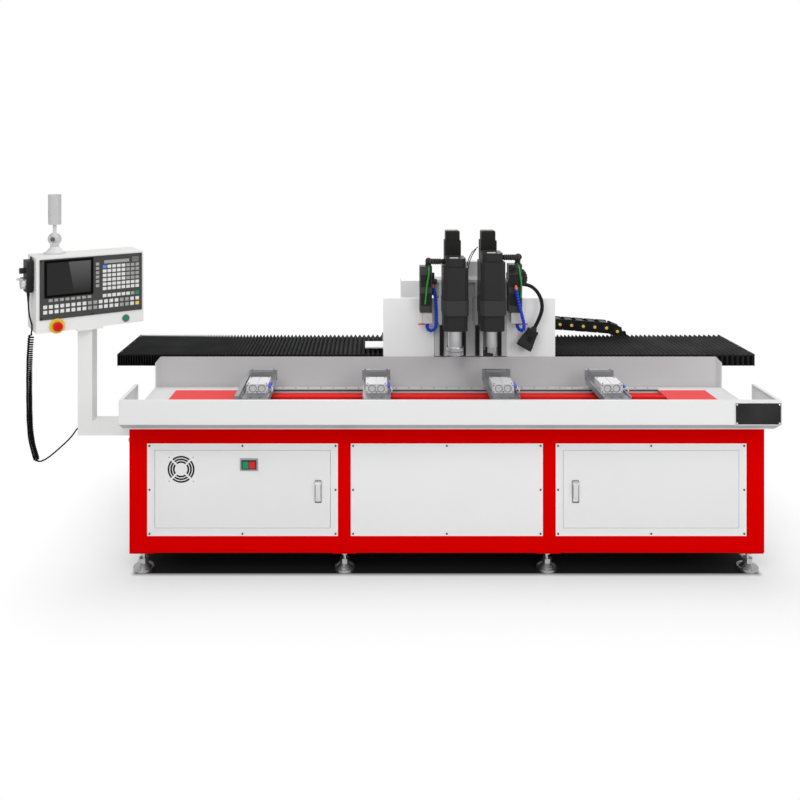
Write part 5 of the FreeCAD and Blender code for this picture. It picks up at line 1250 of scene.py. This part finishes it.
def make_jaw_fittings(k):
    """Rims and ends of a jaw's two cylinders, screws, blue push-in fittings and a clear tube at its right."""
    low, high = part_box("clamp_jaw_%d" % k)
    middle, z = (low[0] + high[0]) / 2, (low[2] + high[2]) / 2
    parts = []
    for way in (-1, 1):
        hole = middle + way * cylinder_x
        parts += tinted(0, fitting("cylinder cap", (hole, low[1] + cylinder_sink, z), to_front))
        parts += tinted(3, flat_ring(*cylinder_ring, (hole, low[1], z), to_front, 36))
        lower, upper = low[2] + face_screw_edge, high[2] - face_screw_edge
        for x, height in ((outer_screw_x, lower), (inner_screw_x, lower), (outer_screw_x, upper)):
            place = (middle + way * x, low[1] + face_screw_out, height)
            parts += tinted(1, socket_screw(place, to_front, *face_screw))
        for y in (low[1] + top_screw_edge, high[1] - top_screw_edge):
            place = (middle + way * top_screw_x, y, high[2] - top_screw_sink)
            parts += tinted(1, socket_screw(place, upward, *top_screw))
    for y in push_in_y:
        place = (high[0] - push_in_sink, low[1] + y, z + push_in_rise)
        parts += tinted(2, fitting("push-in fitting", place, to_right))
    route = np.array(tube_route) + (high[0], low[1], z)
    parts += tinted(4, along(smooth_route(route, 24), tube_radius, steps=8))
    piece("jaw_fittings_%d" % k, parts, ["jaw", "black", "blue", "key soft", "tube"], "jaw_%d" % k,
          smooth=True)


def make_base_screws(k):
    """Cap screws in the front corners of a clamp base and a pair at its back."""
    low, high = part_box("clamp_jaw_%d" % k)
    middle = (low[0] + high[0]) / 2
    parts = []
    for way in (-1, 1):
        parts += [socket_screw((middle + way * base_screw_x, y, base_screw_z), upward, *base_screw)
                  for y in base_screw_y]
        place = (middle + way * back_screw_x, back_screw_y, back_screw_z)
        parts.append(socket_screw(place, upward, *back_screw))
    piece("base_fixings_%d" % k, parts, ["black"], "clamp_%d" % k, smooth=True)


# Cabinet
gland_y = -0.400
gland_z, plug_z = 0.574, 0.521
button_gap = 0.0008
divider_gap = 0.0006
switch_rim = 0.0042
switch_out, switch_back = 0.0016, 0.0004
lock_rim = 0.0018
lock_side, lock_below, lock_above = 0.004, 0.020, 0.006
lock_out, lock_back = 0.0040, 0.0002


def make_cabinet_gland():
    """A brass cable gland and a black blanking plug on the cabinet's left side."""
    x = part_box("side_panels")[0][0]
    parts = [fitting(name, (x, gland_y, gland_z), to_left) for name in ("cabinet gland", "gland dome")]
    piece("side_gland", parts, ["brass"], "base", bevel=0.0004)
    plug = fitting("blanking plug", (x, gland_y, plug_z), to_left)
    piece("side_plug", [plug], ["plastic"], "base", smooth=True)


def make_switch_frame():
    """A dark raised frame round the two switch buttons, with a bar between them."""
    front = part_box("switch_plate")[0][1]
    on_low, on_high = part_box("switch_button_on")
    off_low, off_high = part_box("switch_button_off")
    y0, y1 = front - switch_out, front + switch_back
    reach = button_gap + switch_rim
    parts = edge_bars(on_low[0] - reach, off_high[0] + reach, y0, y1, on_low[2] - reach, on_high[2] + reach,
                      switch_rim)
    parts.append(block(on_high[0] + divider_gap, off_low[0] - divider_gap, y0, y1,
                       on_low[2] - button_gap, on_high[2] + button_gap))
    piece("switch_frame", parts, ["plastic"], "door_left_body", bevel=0.0005)


def make_lock_rim(side):
    """A dark rim on the door round its lock, behind the lever."""
    low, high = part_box("lock_lever_" + side)
    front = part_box("front_sheets")[0][1]
    parts = edge_bars(low[0] - lock_side, high[0] + lock_side, front - lock_out, front - lock_back,
                      low[2] - lock_below, high[2] + lock_above, lock_rim)
    piece("lock_rim_" + side, parts, ["black"], "door_" + side + "_body")


# Finish of the CAD nodes. Bands are (colour, low, high, depth), with a limit far off where there is none.
no_limit = 10
node_finishes = {
    "red": ["base_frame"],
    "lit bed red": ["bed_plates"],
    "white": ["side_panels", "front_sheets", "door_left", "door_right"],
    "cover white": ["saddle_covers"],
    "column grey": ["saddle_column"],
    "mid grey": ["switch_plate"],
    "box grey": ["control_box", "arm_tube"],
    "lamp": ["lamp_base", "lamp_elbow", "lamp_head"],
    "panel": ["control_panel"],
    "plastic": ["pendant_body", "pendant_knob", "fan_housing", "fan_rotor"],
    "silver": ["pendant_dial", "lock_lever_left", "lock_lever_right"],
    "black": ["panel_screws", "z_rails"],
    "valve": ["coolant_valves"],
    "dark": ["saddle_plate", "x_beam"],
    "rail": ["linear_rails"],
    "plate": ["clamp_base_%d" % k for k in clamps],
    "jaw": ["clamp_jaw_%d" % k for k in clamps],
    "brass": ["x_nut"],
    "steel": ["levelling_feet"],
    "green": ["switch_button_on", "start_button"],
    "signal red": ["switch_button_off", "estop_button", "valve_lever_left", "valve_lever_right"],
    "bright": ["chuck_left", "chuck_right"],
}
sheet_white = (0.77, 0.77, 0.775)
trough_floor = 0.708
# Trough bands: a dark grey of painted shade under the front of the apron below the floor line, the sheet's own
# white behind that, and a grey of painted shade on the backsplash.
trough_shade_bands = [((0.40, 0.40, 0.41), -no_limit, trough_floor, -no_limit),
                (sheet_white, -no_limit, trough_floor, -0.545),
                ((0.57, 0.55, 0.56), -no_limit, no_limit, -0.03)]
head_bands = [((0.022, 0.022, 0.023), 1.076, 1.148, -no_limit),
              ((0.52, 0.52, 0.53), -no_limit, no_limit, -0.0555),
              ((0.75, 0.75, 0.76), 0.870, 0.9995, -no_limit)]
motor_bands = [(grey(0.70), 1.228, 1.236, -no_limit)]


def dress(node, material):
    """A CAD node keeps its mesh and takes a new finish."""
    slots = nodes[node].data.materials
    slots.clear()
    slots.append(material)


def dress_nodes():
    for finish_name, names in node_finishes.items():
        for name in names:
            dress(name, paint[finish_name])
    dress("trough", banded("trough sheet with painted shade", sheet_white, trough_shade_bands, rough=(0.38, 0.5), specular=0.5))
    head = banded("spindle head", (0.0055, 0.0055, 0.006), head_bands, rough=(0.28, 0.4), specular=0.09,
                  shine=2)
    for side in sides:
        dress("head_" + side, head)
    dress("z_motors", banded("servo motor", (0.014, 0.014, 0.013), motor_bands))


# Light, floor and backdrop. Distances on the floor are from the cabinet's footprint, where a near-black painted
# shadow lies.
floor_reach = 14.0
floor_rings, floor_steps = 24, 64
floor_widening = 1.6
floor_drop = 0.0005
shadow_footprint = (1.36, 0.43, 0.1)
shade_span = (0.0, 0.03)
white_span = (0.05, 0.55)
least_white = 0.35
floor_painted_shadow, floor_pale = grey(0.012), grey(0.90)
sky_strength = 0.55
# Each lamp: place, target, size, power
lamps = {
    "key": ((-1.6, -3.6, 4.0), (0, 0, 0.6), (3.0, 2.0), 75),
    "fill": ((2.8, -3.2, 2.6), (0, 0, 0.7), (2.5, 2.0), 44),
    "top": ((0, 0.4, 4.2), (0, 0, 0.6), (4.0, 2.0), 45),
    "back": ((0.5, 4.2, 2.8), (0, 0, 0.8), (4.0, 2.0), 30),
}


def make_stage():
    """A wide floor with a near-black painted shadow under the cabinet, pale beside it and plain white to the
    camera far off.
    """
    r = np.linspace(0, 1, floor_rings)[1:] ** floor_widening * floor_reach
    angle = np.arange(floor_steps) * tau / floor_steps
    flat = np.zeros((len(r), floor_steps))
    points = np.stack([np.outer(r, np.cos(angle)), np.outer(r, np.sin(angle)), flat], axis=2)
    mesh = bpy.data.meshes.new("floor")
    faces = grid_faces(len(r), floor_steps) + [list(range(floor_steps))]
    mesh.from_pydata(points.reshape(-1, 3).tolist(), [], faces)
    material, tree, shader = new_material("floor", specular=0.1)
    mirrored = worked_vector(tree, "ABSOLUTE", own_place(tree))[0]
    beyond = worked_vector(tree, "SUBTRACT", mirrored, shadow_footprint)[0]
    outside = worked_vector(tree, "MAXIMUM", beyond, (0, 0, 0))[0]
    distance = worked_vector(tree, "LENGTH", outside)["Value"]
    # Zero in the painted shadow under the cabinet, one past its edge
    shade = ranged(tree, distance, shade_span)
    white = worked(tree, "MULTIPLY", ranged(tree, distance, white_span, least_white), shade)
    seen = worked(tree, "MULTIPLY", white, add_node(tree, "LightPath", {}).outputs["Is Camera Ray"])
    set_inputs(tree, shader, {"Base Color": mixed(tree, shade, opaque(floor_painted_shadow), opaque(floor_pale)),
                              "Roughness": 0.6})
    lit = tree.nodes["Principled BSDF"].outputs[0]
    glow = add_node(tree, "Emission", {"Strength": 1.0}).outputs[0]
    surface = add_node(tree, "MixShader", {"Fac": seen, 1: lit, 2: glow}).outputs[0]
    tree.links.new(surface, tree.nodes["Material Output"].inputs["Surface"])
    mesh.materials.append(material)
    floor = put("floor", mesh)
    floor.location.z = -floor_drop


def make_world():
    """Even white light, and plain white wherever the camera sees past the machine."""
    world = bpy.data.worlds.new("studio")
    bpy.context.scene.world = world
    world.use_nodes = True
    tree = world.node_tree
    light = tree.nodes["Background"]
    set_inputs(tree, light.inputs, {"Color": opaque(grey(1)), "Strength": sky_strength})
    plain = add_node(tree, "Background", {"Color": opaque(grey(1))}).outputs[0]
    rays = add_node(tree, "LightPath", {}).outputs
    direct = worked(tree, "MAXIMUM", rays["Is Camera Ray"], rays["Is Transmission Ray"])
    sky = add_node(tree, "MixShader", {"Fac": direct, 1: light.outputs[0], 2: plain}).outputs[0]
    tree.links.new(sky, tree.nodes["World Output"].inputs["Surface"])


def make_lamps():
    for name, (place, target, size, power) in lamps.items():
        lamp = bpy.data.lights.new(name, "AREA")
        lamp.shape = "RECTANGLE"
        lamp.size, lamp.size_y = size
        lamp.energy = power
        holder = put(name, lamp)
        holder.location = place
        holder.rotation_euler = (Vector(target) - Vector(place)).to_track_quat("-Z", "Y").to_euler()


make_camera()
make_pendant_cord()
make_tool_cable()
for side in sides:
    make_bellows(side)
make_chain()
make_hoses()
for side in sides:
    make_conduit(side)
make_cable_sleeve()
make_keys()
make_screen()
make_name_plate()
make_box_rings()
make_wires()
make_valve_parts()
make_head_highlight_strips()
make_lamp_screw()
make_rail_screws()
make_bed_rail_trim()
for clamp in clamps:
    make_jaw_fittings(clamp)
for clamp in clamps:
    make_base_screws(clamp)
make_cabinet_gland()
make_switch_frame()
for side in sides:
    make_lock_rim(side)
dress_nodes()
make_stage()
make_world()
make_lamps()
bpy.context.scene.view_settings.view_transform = "Standard"
